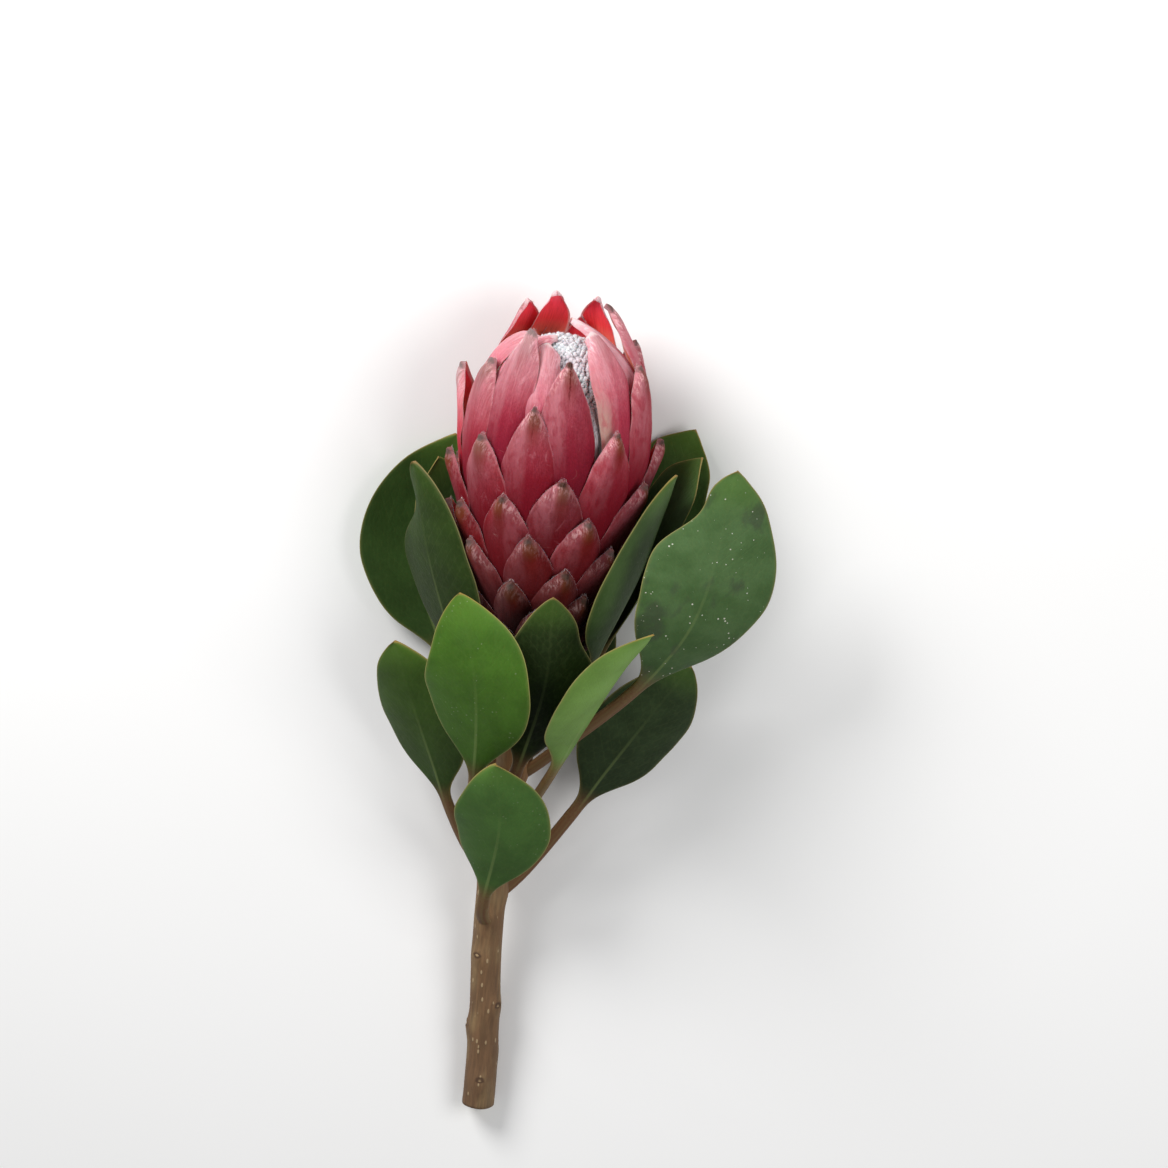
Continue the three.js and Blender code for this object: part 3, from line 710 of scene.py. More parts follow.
# How far the middle stands above the margins near the tip, on the lowest and the top bracts, as a
# share of half the width.
TIP_FOLD = (1.0, 0.6)
TIP_FOLD_REACH = 11
ROUND_FROM = (58, 64)  # bracts over which the tips grow round
ROUND_FOLD = 0.3  # share of its fold that a round tip keeps
UNDERSIDE = (0.75, 0.97)  # how far a bract faces down, 1 being straight down, as it comes to be pressed
PRESSED = 0.2  # share of its fold that a bract under the lying head keeps
FOLD_SHARP = (1.2, 2)  # power of the fold's outline across: near the tip, and far below it
TIP_LIFT = 1.0  # how far the tip stands off the head, besides its flare in the solids
TIP_LIFT_REACH = 7
TIP_NUB = 0.15  # how far the dry tip swells
TIP_NUB_REACH = 1.6
MARGIN_THICK = 0.16
MIDDLE_THICK = 0.9
MARGIN_ROLLS = 1.6  # how far the margins turn in near the tip
MARGIN_ROLLS_BELOW = 0.7  # share of that roll far below the tip
RIPPLE = 0.3  # how far the margins wave in and out
RIPPLE_LENGTH = 15
DENT = 0.3  # how far the faces swell and sink
FURROW = 0.13  # how deep the shallow furrows along a bract are
TIP_SWERVE = 1.0  # how far aside the tip may point
TIP_SWERVE_REACH = 5
# Bracts that stand out: the radius of the tip, its white silk and how brown its dry end is.
OWN_LOOKS = {
    46: (1.5, 0.1, 1), 49: (1.7, 0.15, 0.9), 52: (1.6, 1, 0.8), 54: (0.8, 0.1, 0.9), 57: (2.2, 0.5, 0.8),
    59: (1.5, 0.1, 1), 60: (2, 0.5, 0), 62: (3.4, 0.6, 0.75), 64: (4.6, 0.5, 0), 65: (2, 1, 0),
    66: (2.2, 0.6, 0), 67: (6, 0.8, 0), 68: (3.2, 0.8, 0), 69: (3, 1, 0), 70: (2, 0.6, 0),
}
# Inner bracts moved from where they are in the solids: degrees farther round, and how far the tip
# swerves aside and droops.
NUDGES = {60: (-20, 6, 0), 64: (2, 0, 0), 65: (0, 0, 5), 66: (17, -4, 0), 67: (-5, -4, 0), 68: (-18, 4, 0)}
NUDGE_SWERVE_REACH = 8
NUDGE_DROOP_REACH = 5
LONG_TIPS = {51: 1.2, 54: 1.3, 56: 1.15, 59: 1.25, 61: 1.2, 65: 1.7}  # how much longer their points are
# Partly each bract's own tone and partly painted light and shade: 62, for one, is darkened where it lies in
# shade.
SHADES = {  # how bright they are against their neighbours
    46: 0.74, 49: 0.9, 52: 1.8, 54: 0.8, 57: 0.9, 59: 0.7, 61: 1.1, 62: 0.77, 64: 0.98, 65: 1.06,
    67: 0.8, 69: 0.84,
}
CRACKED = {54: 0.5, 59: 1}  # bracts with a cracked midline, and how dark it is
FADED = {64: 1}  # bracts with a cream patch on the left margin
FADED_DEPTH = 36
FADED_REACH = 13
SILK_FROM = 50  # from this bract on, the tips grow ever more silky
RIDGE_RIGHT = -0.6  # draws above this put a bract's rusty ridge on its right half


def bract_radius(number, height):
    return head_radius(height) - LAYER * (number - bract_with_tip_at(height))


def bract(number):
    """One bract's outer and inner points, [face, row, column], and the values that its material reads."""
    width = bract_width(number) * (1 + WIDTH_VARIES * chance(number, 2))
    azimuth = FIRST_AZIMUTH + DIVERGENCE * number
    lean, rise, bend, droop = BENT_BRACTS.get(number, (MAX_LEAN * chance(number, 1), 0, 0, 0))
    nudge, nudge_swerve, nudge_droop = NUDGES.get(number, (0, 0, 0))
    root = max(FIRST_FOOT + BRACT_RISE * number - ROOT_DEPTH, LOWEST_ROOT)
    top = tip_height(number) + rise
    length = top - root

    # Where the blade runs, and how wide it is.
    depth = length * np.linspace(0, 1, BRACT_ROWS)[:, None] ** ROWS_CROWD
    x = places_across(BRACT_COLUMNS)
    arch = 1 - x * x
    bent = np.clip(1 - depth / BEND_REACH, 0, None)
    flare = FLARE * np.clip(1 - depth / FLARE_REACH, 0, None)
    height = HEAD_FOOT + top - depth - droop * bent**4 - nudge_droop * bell(depth, NUDGE_DROOP_REACH)
    radius = bract_radius(number, top - depth) + flare - bend * bent**2
    shape = bract_shape(depth / width / LONG_TIPS.get(number, 1))
    usual_looks = (
        TIP_BLUNT * (1 + TIP_BLUNT_VARIES * chance(number, 6)),
        0.5 * smoothstep(number, SILK_FROM, BRACTS),
        0.95 + 0.05 * chance(number, 7),
    )
    tip_radius, silk, dryness = OWN_LOOKS.get(number, usual_looks)
    blunt = np.sqrt(tip_radius**2 - np.clip(tip_radius - depth, 0, None) ** 2)
    half = np.maximum(np.maximum(width * shape / 2, blunt), NARROWEST)

    # How far the outer face stands off it.
    pointed = lerp(1, ROUND_FOLD, smoothstep(number, *ROUND_FROM))
    pressed = lerp(1, PRESSED, smoothstep(-math.cos(math.radians(azimuth)), *UNDERSIDE))
    near_tip = np.exp(-((depth / TIP_FOLD_REACH) ** 1.3))
    fold = 1 - np.abs(x) ** lerp(FOLD_SHARP[1], FOLD_SHARP[0], near_tip)
    fold = lerp(*TIP_FOLD, number / BRACTS) * pointed * pressed * half * near_tip * fold
    roll = MARGIN_ROLLS * lerp(MARGIN_ROLLS_BELOW, 1, near_tip) * np.abs(x) ** 3
    wave = np.sin(2 * np.pi * (depth / RIPPLE_LENGTH + chance(number, 3)) + 1.3 * np.sign(x))
    ripple = RIPPLE * wave * np.abs(x) ** 3 * smoothstep(depth, 1, 10)
    dent = DENT * np.sin(4 * x + 3 * chance(number, 8)) * np.sin(depth / 6 + 3 * chance(number, 9))
    dent = dent * smoothstep(depth, 1, 8) * arch
    furrows = FURROW * np.sin(11 * x + 3 * chance(number, 16)) * smoothstep(depth, 2, 10) * arch
    nub = TIP_NUB * bell(depth, TIP_NUB_REACH) * arch
    keel = BRACT_KEEL * np.minimum(1, 2 * shape) * arch
    raised = pressed * TIP_LIFT * np.exp(-depth / TIP_LIFT_REACH)
    lift = keel + fold - roll + ripple + dent + furrows + nub + raised
    thick = lerp(MIDDLE_THICK, MARGIN_THICK, np.abs(x) ** 1.5) * np.minimum(1, 0.45 + half / 4)

    swerve = TIP_SWERVE * chance(number, 4) * np.exp(-depth / TIP_SWERVE_REACH)
    swerve = swerve + nudge_swerve * np.exp(-depth / NUDGE_SWERVE_REACH)
    turn = np.degrees((x * half + swerve) / np.maximum(radius, half)) + (lean + nudge) * (1 - depth / length)
    middle = around(azimuth + turn, radius, height)
    normal = unit(np.cross(np.gradient(middle, axis=0), np.gradient(middle, axis=1)))
    local = np.stack([middle + normal * (lift - inside * thick)[..., None] for inside in (0, 1)])

    hand = 1 if number in OWN_LOOKS or chance(number, 10) > RIDGE_RIGHT else -1
    faded = FADED.get(number, 0) * bell(depth - FADED_DEPTH, FADED_REACH) * smoothstep(-x, 0.1, 0.9)
    values = on_points(
        local, below=depth, right=hand * x * half, edge=(1 - np.abs(x)) * half, inside=FACES,
        rank=number / (BRACTS - 1), luck=chance(number, 5), bright=SHADES.get(number, 1), silk=silk,
        dryness=dryness, crack=CRACKED.get(number, 0), faded=faded,
    )
    values["grain"] = points(x * half, depth, 37.0 * number + 11 * FACES).reshape(-1, 3)
    return local, values


def make_bracts(paint):
    share = BRACTS // len(TIERS)
    for tier, name in enumerate(TIERS):
        made = [bract(number) for number in range(tier * share, (tier + 1) * share)]
        local = np.concatenate([shape.reshape(-1, 3) for shape, _ in made])
        size = len(local) // share
        faces = np.concatenate([blade_faces(BRACT_ROWS, BRACT_COLUMNS, size * i) for i in range(share)])
        values = {key: np.concatenate([each[key] for _, each in made]) for key in made[0][1]}
        make_piece(f"bracts_{name}", local, faces.tolist(), paint, "bracts", ["involucre"], **values)


FRINGE_FROM = 6  # the lowest bract with a fringe
FRINGE_HAIRS = 240  # on each bract
FRINGE_REACH = (8, 24)  # how far below the tip the margins carry hairs, on the lowest and the top bracts
FRINGE_CROWDS = 1.7  # power by which the hairs crowd towards the tip
FRINGE_ROOT = 0.15  # how deep a hair is rooted in the margin
FRINGE_LENGTH = 0.6
FRINGE_THICK = 0.018
FRINGE_STRAYS = 0.35


def make_fringe(paint):
    """Silvery hairs along the margins of the bracts, longest at their tips."""
    roots, heading, lengths, sag = [], [], [], []
    up = np.array((0, 0, 1.0))
    for number in range(FRINGE_FROM, BRACTS):
        (outer, _), values = bract(number)
        depth = values["below"][: outer[..., 0].size].reshape(outer.shape[:2])[:, 0]
        reach = lerp(*FRINGE_REACH, number / BRACTS)
        for i in range(FRINGE_HAIRS):
            key = number * FRINGE_HAIRS + i
            below = reach * (0.5 + 0.5 * chance(key, 11)) ** FRINGE_CROWDS
            row = np.interp(below, depth, np.arange(BRACT_ROWS))
            low, high = int(row), min(int(row) + 1, BRACT_ROWS - 1)
            column, inward = (0, 3) if i % 2 else (-1, -4)
            edge = lerp(outer[low, column], outer[high, column], row - low)
            middle = lerp(outer[low, inward], outer[high, inward], row - low)
            away = unit(edge - middle + 1e-6)
            outwards = unit(edge * (1, 1, 0))
            roots.append(edge - FRINGE_ROOT * away)
            heading.append(unit(0.35 * away + up + 0.15 * outwards + FRINGE_STRAYS * stray(key, 12)))
            lengths.append(FRINGE_LENGTH * (0.6 + 0.35 * chance(key, 15)) * (1 + 0.7 * np.exp(-below / 3)))
            sag.append(0.25 * up - 0.15 * outwards)
    roots, heading, lengths, sag = (np.array(each) for each in (roots, heading, lengths, sag))
    make_hairs("bract_fringe", roots, heading, lengths, FRINGE_THICK, sag, paint, "bracts")


RECEPTACLE_RINGS = 24
RECEPTACLE_SIDES = 64
RECEPTACLE_INSET = 0.4  # how deep its skin lies under the middle of the bracts that leave it


def make_receptacle(paint):
    """The cone under the bracts, of which the foot shows round the stem."""
    height = np.linspace(0, RECEPTACLE_HEIGHT, RECEPTACLE_RINGS)[:, None]
    bract_that_leaves = np.maximum(height - FIRST_FOOT, 0) / BRACT_RISE
    radius = bract_radius(bract_that_leaves, height) - RECEPTACLE_INSET
    local = around(all_round(RECEPTACLE_SIDES), radius, HEAD_FOOT + height).reshape(-1, 3)
    faces = tube_faces(RECEPTACLE_RINGS, RECEPTACLE_SIDES)
    make_piece("receptacle", local, faces, paint, "bracts", ["involucre"], grain=local)


# ---------------------------------------------------------------- the florets

wool_radius = through(WOOL_OUTLINE)

FLORETS = 1400
WOOL_FOOT = 113  # height above the head's foot down to which the florets' ends stand
FLORET_SIDES = 9
# Outline of one floret: (distance below the end of its head, radius).
FLORET_OUTLINE = [(0, 0.2), (0.1, 0.45), (0.4, 0.75), (1, 0.9), (2.2, 0.8), (5, 0.5), (9, 0.4)]
FLORET_GIRTH = (1.12, 0.28)  # the usual scale of that radius, and how far it varies
FLORET_LUMPS = 0.16
FLORET_TURNS_UP = 0.9  # 0 for a floret square to the dome, larger for one that points along the axis
FLORET_STRAYS = 0.35
SIDE_FLORETS = 64  # the outermost ones, seen from the side
SIDE_FLORET_SIDES = 6
SIDE_RINGS = 30
SIDE_TOP = 128
SIDE_STANDS = 2.5  # how far they stand out from the mass in the solids
SIDE_CLOSES = 8.5  # how far they close in again
SIDE_CLOSES_FROM = 106
SIDE_RIBS = 1.1
SILK_STRANDS = 2400
SILK_ROOTS = (92, 20)  # the middle of the heights where strands are rooted, and how far those vary
SILK_STANDS = 2.9
SILK_CLOSES = 5
SILK_CLOSES_OVER = (104, 116)
SILK_LENGTH = 9
SILK_THICK = 0.05
SILK_STRAYS = 0.06
SILK_CURLS = 1.2
WOOL_HAIRS = 20  # on each floret's head
WOOL_HAIR_LENGTH = 0.8
WOOL_HAIR_THICK = 0.032
WOOL_HAIR_STRAYS = 0.9
WOOL_HAIR_CURLS = 0.5


def floret_places():
    """Where the heads of the inner florets end on the dome, and which way each of them grows."""
    heights = np.linspace(WOOL_TOP, WOOL_FOOT, 240)
    radii = wool_radius(heights)
    steps = np.hypot(np.diff(heights), np.diff(radii)) * (radii[1:] + radii[:-1]) / 2
    area = np.concatenate([[0], np.cumsum(steps)])
    number = np.arange(FLORETS)
    height = np.interp((number + 0.5) / FLORETS * area[-1], area, heights)
    tilt = np.interp(-height, -heights, np.gradient(radii, heights))
    azimuth = DIVERGENCE * number + 3 * chance(number, 21)
    normal = unit(around(azimuth, 1, np.clip(-tilt, 0, 8)))
    strays = stray(number, 24)
    grows = unit(normal + (0, 0, FLORET_TURNS_UP) + FLORET_STRAYS * strays)
    ends = around(azimuth, wool_radius(height), HEAD_FOOT + height)
    return ends + 0.5 * chance(number, 22)[:, None] * grows + 0.4 * strays, grows


def make_florets(paint, silk, hair):
    """The heads of the inner florets, then the outermost florets, their silk and the wool's hairs."""
    ends, grows = floret_places()
    side = unit(np.cross(grows, (0.3, 1, 0.1)))
    other = np.cross(grows, side)
    angle = np.radians(all_round(FLORET_SIDES))[..., None]
    below, radius = np.array(FLORET_OUTLINE).T[:, None, :, None]
    girth = FLORET_GIRTH[0] + FLORET_GIRTH[1] * chance(np.arange(FLORETS), 23)[:, None, None]
    rings = below.size
    corner = np.arange(FLORETS * rings * FLORET_SIDES).reshape(FLORETS, rings, FLORET_SIDES)
    lumpy = radius * girth * (1 + FLORET_LUMPS * chance(corner, 27))
    circle = np.cos(angle) * side[:, None, None] + np.sin(angle) * other[:, None, None]
    local = ends[:, None, None] - grows[:, None, None] * below[..., None] + circle * lumpy[..., None]
    values = on_points(local, below=below)
    local = local.reshape(-1, 3)
    faces = []
    for number in range(FLORETS):
        faces += tube_faces(rings, FLORET_SIDES, rings * FLORET_SIDES * number)
    faces = [face[::-1] for face in faces]
    make_piece("floret_heads", local, faces, paint, "wool", ["florets"], grain=local, **values)
    make_side_florets(silk)
    make_silk(hair)
    make_wool_hairs(hair, ends, grows, side, other)


def make_side_florets(paint):
    """The outermost florets, upright against the bracts, on the mass that fills the head."""
    sides = SIDE_FLORETS * SIDE_FLORET_SIDES
    azimuth = all_round(sides)
    height = np.linspace(WOOL_OUTLINE[0][0], SIDE_TOP, SIDE_RINGS)[:, None]
    rib = np.abs(np.sin(np.radians(azimuth * SIDE_FLORETS / 2 + 9 * np.sin(height / 9))))
    inset = SIDE_CLOSES * smoothstep(height, SIDE_CLOSES_FROM, SIDE_TOP) - SIDE_STANDS
    local = around(azimuth, wool_radius(height) - inset + SIDE_RIBS * rib, HEAD_FOOT + height)
    values = on_points(local, below=2.6 - 2.4 * rib)
    local = local.reshape(-1, 3)
    faces = tube_faces(SIDE_RINGS, sides)
    grain = local * (1, 1, 0.2)
    make_piece("floret_sides", local, faces, paint, "wool", ["florets"], grain=grain, **values)


def make_silk(paint):
    """Long silky strands that lie up the outermost florets."""
    key = np.arange(SILK_STRANDS)
    height = SILK_ROOTS[0] + SILK_ROOTS[1] * chance(key, 42)
    radius = wool_radius(height) + SILK_STANDS - SILK_CLOSES * smoothstep(height, *SILK_CLOSES_OVER)
    roots = around(180 * chance(key, 41), radius, HEAD_FOOT + height)
    heading = unit(SILK_STRAYS * stray(key, 43) + (0, 0, 1.0))
    lengths = SILK_LENGTH * (1 + 0.4 * chance(key, 46))
    make_hairs("floret_silk", roots, heading, lengths, SILK_THICK, SILK_CURLS * stray(key, 47), paint, "wool")


def make_wool_hairs(paint, ends, grows, side, other):
    """Short curly hairs that stand off the florets' heads."""
    floret = np.repeat(np.arange(FLORETS), WOOL_HAIRS)
    key = np.arange(len(floret))
    angle = np.pi * chance(key, 31)[:, None]
    spread = 0.15 + 0.85 * (0.5 + 0.5 * chance(key, 32))[:, None]
    out = np.cos(angle) * side[floret] + np.sin(angle) * other[floret]
    roots = ends[floret] + out * (0.95 * spread) - grows[floret] * (0.1 + 0.9 * spread**2)
    heading = unit(grows[floret] * (1.1 - spread) + out * spread + WOOL_HAIR_STRAYS * stray(key, 33))
    lengths = WOOL_HAIR_LENGTH * (0.75 + 0.4 * chance(key, 36))
    sag = WOOL_HAIR_CURLS * stray(key, 37)
    make_hairs("floret_wool", roots, heading, lengths, WOOL_HAIR_THICK, sag, paint, "wool")


# ---------------------------------------------------------------- the stem

stem_radius = through(STEM_OUTLINE)

STEM_SIDES = 96
STEM_RINGS = 170
GNARL = 0.12
SCAR_SIZE = (2.3, 1.7)  # half the width and half the height of a leaf scar
SCAR_ABOVE = 1.5  # how far above the middle of its swelling a scar sits
SCAR_DEPTH = 0.35
SCAR_RIM = 0.25
CUT_RINGS = (0.06, 0.25, 0.5, 0.75, 0.9)  # rings of points on the sawn end, as shares of its radius
CUT_BULGE = 0.35


def stem_centre(height):
    share = np.asarray(height) / HEAD_FOOT
    bow = np.sin(np.pi * share)
    return points(-STEM_SWAY * bow * bow, 0.4 * STEM_SWAY * bow * share, height)


def marks():
    """Height and azimuth of the swellings: one under each leaf, then one at each scar."""
    under_leaves = [(leaf["foot"][0] - CUSHION_BELOW, leaf["foot"][1]) for leaf in LEAVES]
    return under_leaves, [(FIRST_SCAR + SCAR_RISE * i, -DIVERGENCE * i) for i in range(SCARS)]


def swelling(azimuth, height):
    full = 0
    for middle, side in sum(marks(), []):
        aside = 1 - np.cos(np.radians(azimuth - side))
        full = full + np.exp(-CUSHION_NARROWS * aside - ((height - middle) / CUSHION_LENGTH) ** 2)
    lower, upper = CUSHIONS_FADE
    return full * smoothstep(height, 0, lower) * smoothstep(HEAD_FOOT - height, 0, upper)


def scar_share(azimuth, height):
    """1 in the middle of a leaf scar, 0 at its rim and beyond."""
    share = 0
    for middle, side in marks()[1]:
        away = (azimuth - side + 180) % 360 - 180
        across = np.radians(away) * stem_radius(middle) / SCAR_SIZE[0]
        up = (height - middle - SCAR_ABOVE) / SCAR_SIZE[1]
        share = np.maximum(share, 1 - np.sqrt(across**2 + up**2))
    return np.clip(share, 0, 1)


def make_stem(paint):
    azimuth = all_round(STEM_SIDES)
    height = np.linspace(0, STEM_TOP, STEM_RINGS)[:, None]
    scar = scar_share(azimuth, height)
    gnarl = GNARL * np.sin(np.radians(azimuth) * 5 + height / 11) * np.sin(height / 17 + 1)
    dent = SCAR_DEPTH * smoothstep(scar, 0.25, 0.4) - SCAR_RIM * smoothstep(scar, 0.02, 0.2)
    radius = stem_radius(height) + CUSHION * swelling(azimuth, height) + gnarl - dent
    bark = stem_centre(height) + around(azimuth, radius, 0)
    ring = np.array(CUT_RINGS)[:, None]
    sawn = stem_centre(0 * ring) + around(azimuth, radius[:1] * ring, CUT_BULGE * (ring**6 - 1))
    local = np.concatenate([sawn, bark])
    values = on_points(
        local, cut=np.concatenate([ring, 1 + 0 * height]), scar=np.pad(scar, ((len(ring), 0), (0, 0))),
        sawn=np.arange(len(local))[:, None] < len(ring),
    )
    faces = tube_faces(len(local), STEM_SIDES)
    local = local.reshape(-1, 3)
    make_piece("stem_bark", local, faces, paint, "wood", ["stem"], height=local[:, 2], grain=local, **values)


# ---------------------------------------------------------------- the leaves

blade_shape = through(BLADE_SHAPE)

LEAF_ROWS = 84
LEAF_COLUMNS = 35
STALK_ROWS = 0.16  # share of the rows that lie on the stalk
BLADE_CROWDS = 0.9  # power by which the rows crowd towards the tip
MIDRIB_STANDS = 0.3
MIDRIB_STANDS_BEHIND = 0.3  # share of that on the inner face
MIDRIB_WIDTH = 1.0
LEAF_THICK = 0.75  # in the middle of the blade
ROUNDED_END = 0.975  # share of the blade from which its tip closes roundly
MARGIN_WAVES = (0.035, 0.02)  # long and short waves in the half width, as shares of it
BLADE_WAVE = 0.9  # how far the margins rise and fall
QUILT = 0.02  # how far the blade stands up between the side veins, on both faces together
VEIN_SPACING = 5.5
VEIN_SLANT = 1.15  # how steeply the side veins run forward


def smooth_path(knots, count=400):
    """Points at even distances on the centripetal curve through four knots, and the way it heads."""
    knots = np.array(knots, float)
    ends = [2 * knots[0] - knots[1], 2 * knots[-1] - knots[-2]]
    padded = np.concatenate([ends[:1], knots, ends[1:]])
    t = np.linspace(0, 1, count, endpoint=False)[:, None]
    stretches = []
    for a, b, c, d in zip(padded, padded[1:], padded[2:], padded[3:]):
        before, here, after = (math.sqrt(np.linalg.norm(v)) for v in (b - a, c - b, d - c))
        leaving = ((b - a) / before - (c - a) / (before + here) + (c - b) / here) * here
        arriving = ((c - b) / here - (d - b) / (here + after) + (d - c) / after) * here
        cubic = 2 * b - 2 * c + leaving + arriving
        square = 3 * c - 3 * b - 2 * leaving - arriving
        stretches.append(b + leaving * t + square * t**2 + cubic * t**3)
    path = np.concatenate(stretches + [knots[-1:]])
    run = np.concatenate([[0], np.cumsum(np.linalg.norm(np.diff(path, axis=0), axis=1))])

    def at(share):
        return np.stack([np.interp(share * run[-1], run, path[:, i]) for i in range(3)], axis=-1)

    return at, run[-1]


def leaf(number, details):
    """One leaf's outer and inner points, and the values that its material reads."""
    height, azimuth = details["foot"]
    length, width = details["blade"]
    root = stem_centre(height - STALK_DROPS) + around(azimuth, stem_radius(height) - STALK_ROOT, 0)
    bend = root + around(azimuth, STALK_BEND, STALK_BEND)
    ahead = [(right, -front, up) for right, front, up in (details["past"], details["tip"])]
    path, run = smooth_path([root, bend, *ahead])
    stalk = 1 - length / run

    rows = np.linspace(0, 1, LEAF_ROWS)[:, None]
    on_blade = np.clip((rows - STALK_ROWS) / (1 - STALK_ROWS), 0, None) ** BLADE_CROWDS
    share = np.where(rows < STALK_ROWS, rows / STALK_ROWS * stalk, stalk + (1 - stalk) * on_blade)
    along = np.clip(share - stalk, 0, None) / (1 - stalk)
    opened = smoothstep(along, 0, BLADE_OPENS)
    looks = around(lerp(*details["faces"], along[:, 0]), 1, 0)
    middle = path(share[:, 0])
    heading = unit(path(np.clip(share[:, 0] + 0.002, 0, 1)) - path(np.clip(share[:, 0] - 0.002, 0, 1)))
    across = unit(np.cross(heading, looks))
    face = np.cross(across, heading)
    middle = middle + looks * details.get("recurve", 0) * along**6
    middle = middle + across * details.get("swerve", 0) * smoothstep(along, 0.84, 1) ** 2

    x = places_across(LEAF_COLUMNS)
    half = lerp(STALK_WIDTH, width * blade_shape(along) + BLADE_TIP, opened) / 2
    half = half * np.sqrt(1.02 - (np.clip(along - ROUNDED_END, 0, None) / (1 - ROUNDED_END)) ** 2)
    side = np.sign(x)
    swell = 1 + opened * smoothstep(along, 1, 0.8) * (
        MARGIN_WAVES[0] * np.sin(7 * along + 3 * chance(number, 1) + side)
        + MARGIN_WAVES[1] * np.sin(17 * along + 3 * chance(number, 2) - 2 * side)
    )
    for on, middle_along, spread_along, share_lost in details.get("pinches", []):
        swell = swell * (1 - share_lost * (side == on) * bell(along - middle_along, spread_along))
    reach = x * half * swell
    wave = np.abs(x) ** 2.5 * opened * np.sin(9 * along + 3 * chance(number, 3) + 1.5 * side)
    turned = -details["cup"] * opened * half * x * x + BLADE_WAVE * wave
    aside = np.abs(reach)
    ridge = MIDRIB_STANDS * bell(aside, MIDRIB_WIDTH) * smoothstep(along, 1, 0.3) * opened
    quilt = QUILT * opened * np.cos(2 * np.pi * (along * length - VEIN_SLANT * aside) / VEIN_SPACING)
    quilt = quilt * smoothstep(aside, 0.5, 3) * smoothstep(half - aside, 0, 3)
    roundness = lerp(2, 9, opened)
    body = np.sqrt(1 - np.abs(x) ** roundness * 0.96)
    thick = lerp(STALK_THICK, LEAF_THICK, opened) / 2 * body

    local = []
    behind = -MIDRIB_STANDS_BEHIND * ridge - 0.5 * quilt
    for direction, stands in ((1, ridge + 0.5 * quilt), (-1, behind)):
        level = turned + direction * thick + direction * stands
        spine = middle[:, None, :] + across[:, None, :] * reach[..., None]
        local.append(spine + face[:, None, :] * level[..., None])
    local = np.stack(local)

    bloom, specks, yellow = details["look"]
    along_mm = along * length
    values = on_points(
        local, aside=aside, along=along, edge=(1 - np.abs(x)) * half, stalk=1 - opened,
        vein=(along_mm - VEIN_SLANT * aside) / VEIN_SPACING, bloom=bloom, specks=specks, yellow=yellow,
    )
    tints = [rgb(code)[:3] for code in details["tints"]]
    values["tint"] = np.repeat(tints, local[0].size // 3, axis=0)
    values["grain"] = points(reach, along_mm, 53.0 * number + 19 * FACES).reshape(-1, 3)
    return local.reshape(-1, 3), values


def make_leaves(paint):
    faces = blade_faces(LEAF_ROWS, LEAF_COLUMNS)[:, ::-1].tolist()
    for i, details in enumerate(LEAVES, 1):
        local, values = leaf(i, details)
        make_piece(f"leaf_blade_{i:02d}", local, faces, paint, "leaf", [f"leaf_{i:02d}"], **values)


# ---------------------------------------------------------------- floor, light and camera

FLOOR_REACH = 3.0
LIGHTS = {  # where each one stands, its size and its power
    "key": ((-0.62, 0.74, 0.68), 0.55, 12.5),
    "fill": ((0.65, 0.3, 0.95), 0.7, 6),
}
LIGHTS_AIM = (0, 0.08, 0.04)
SKY_COLOUR = (0.95, 0.97, 1, 1)
SKY_STRENGTH = 0.32
SENSOR = 36
CAMERA_DISTANCE = 2.9
CAMERA_FOCUS = 7243 / 1168 * SENSOR  # 7243 pixels of a picture 1168 wide
CAMERA_FROM_SQUARE = 22  # degrees between the view and the direction square to the flower's axis
CAMERA_ROLL = 6.84
AIM_HEIGHT = 207  # of the point of the axis that the view is laid out from
AIM_SHIFT = (20.8, 22.4)  # from there to the middle of the picture, right and up


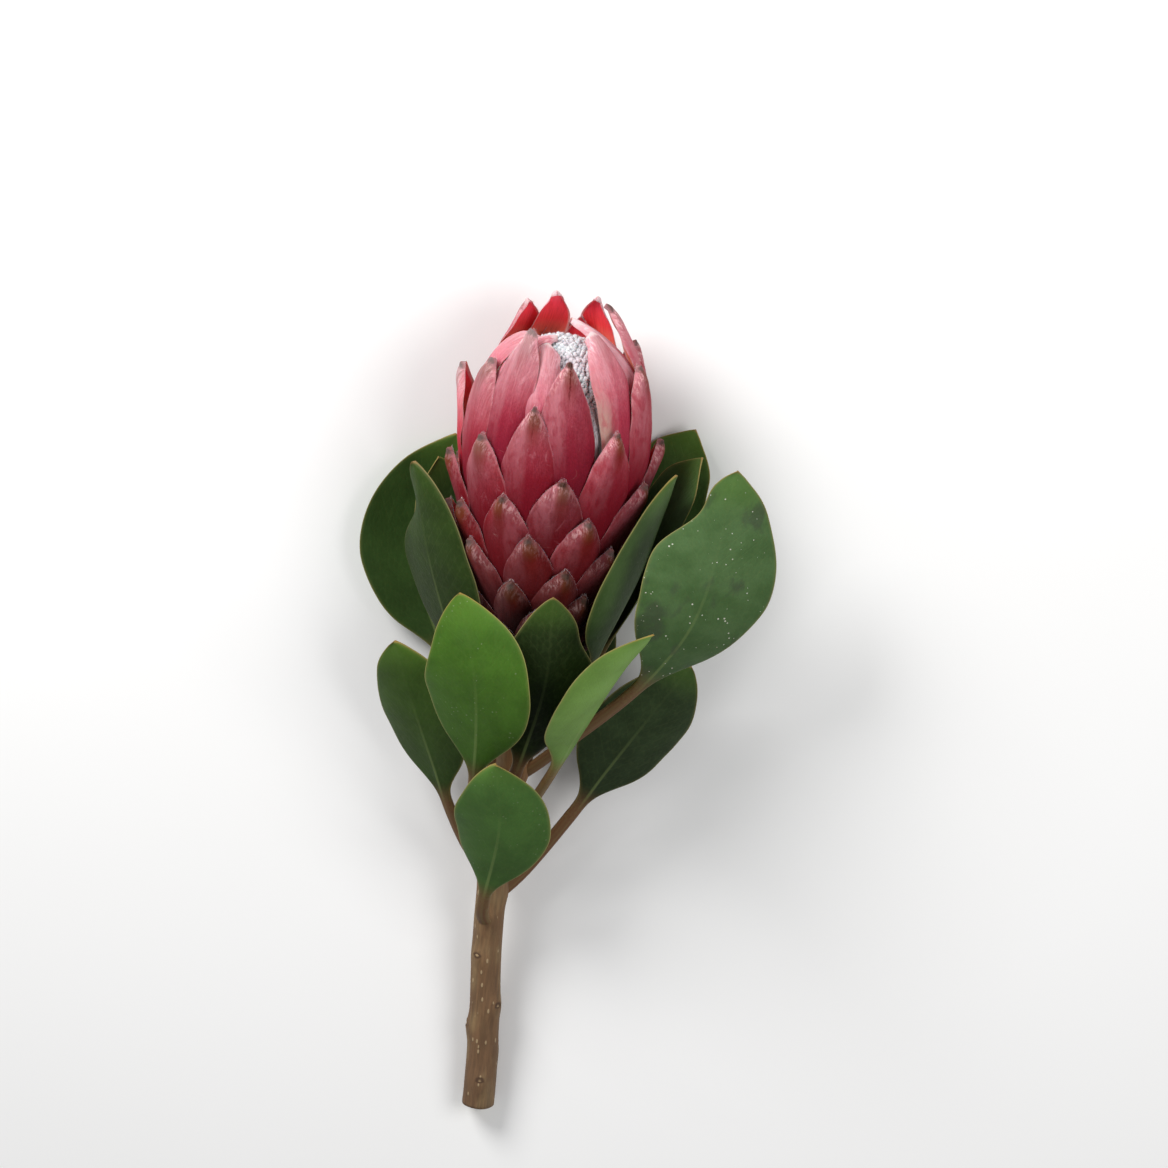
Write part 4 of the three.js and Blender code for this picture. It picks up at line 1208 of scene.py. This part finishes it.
def make_floor():
    mesh = bpy.data.meshes.new("floor")
    corners = [(-1, -1), (1, -1), (1, 1), (-1, 1)]
    level = cad_box[0].z
    mesh.from_pydata([(x * FLOOR_REACH, y * FLOOR_REACH, level) for x, y in corners], [], [(0, 1, 2, 3)])
    mesh.materials.append(floor_paint())
    place_object("floor", mesh)


def make_lights():
    for name, (place, size, power) in LIGHTS.items():
        light = bpy.data.lights.new(name, "AREA")
        light.shape = "DISK"
        light.size = size
        light.energy = power
        lamp = place_object(name, light)
        lamp.location = place
        lamp.rotation_euler = (Vector(LIGHTS_AIM) - Vector(place)).to_track_quat("-Z", "Y").to_euler()
    scene = bpy.context.scene
    scene.view_settings.view_transform = "Standard"
    scene.world = bpy.data.worlds.new("studio")
    scene.world.use_nodes = True
    sky = scene.world.node_tree.nodes["Background"]
    sky.inputs["Color"].default_value = SKY_COLOUR
    sky.inputs["Strength"].default_value = SKY_STRENGTH


def make_camera():
    tilt, raised, roll = (math.radians(d) for d in (REST_TILT, CAMERA_FROM_SQUARE, CAMERA_ROLL))
    aim = Vector(CUT_END) / 1000 + Vector((0, math.cos(tilt), math.sin(tilt))) * AIM_HEIGHT / 1000
    back = Vector((0, math.sin(raised - tilt), math.cos(raised - tilt)))
    level_up = Vector((0, back.z, -back.y))
    level_right = Vector((1, 0, 0))
    right = level_right * math.cos(roll) + level_up * math.sin(roll)
    up = level_up * math.cos(roll) - level_right * math.sin(roll)
    lens = bpy.data.cameras.new("camera")
    lens.sensor_width = SENSOR
    lens.lens = CAMERA_FOCUS
    camera = place_object("camera", lens)
    camera.matrix_world = Matrix((right, up, back)).transposed().to_4x4()
    camera.location = aim + (right * AIM_SHIFT[0] + up * AIM_SHIFT[1]) / 1000 + back * CAMERA_DISTANCE
    bpy.context.scene.camera = camera


# ---------------------------------------------------------------- the scene

make_bracts(bract_paint())
make_fringe(hair_paint("fringe", 0xC89494, 0xEEDAD6))
make_receptacle(receptacle_paint())
make_florets(wool_paint(), silk_paint(), hair_paint("wool_hair", 0xE8DCE2, 0xFAF4F6))
make_stem(stem_paint())
make_leaves(leaf_paint())
make_floor()
make_lights()
make_camera()
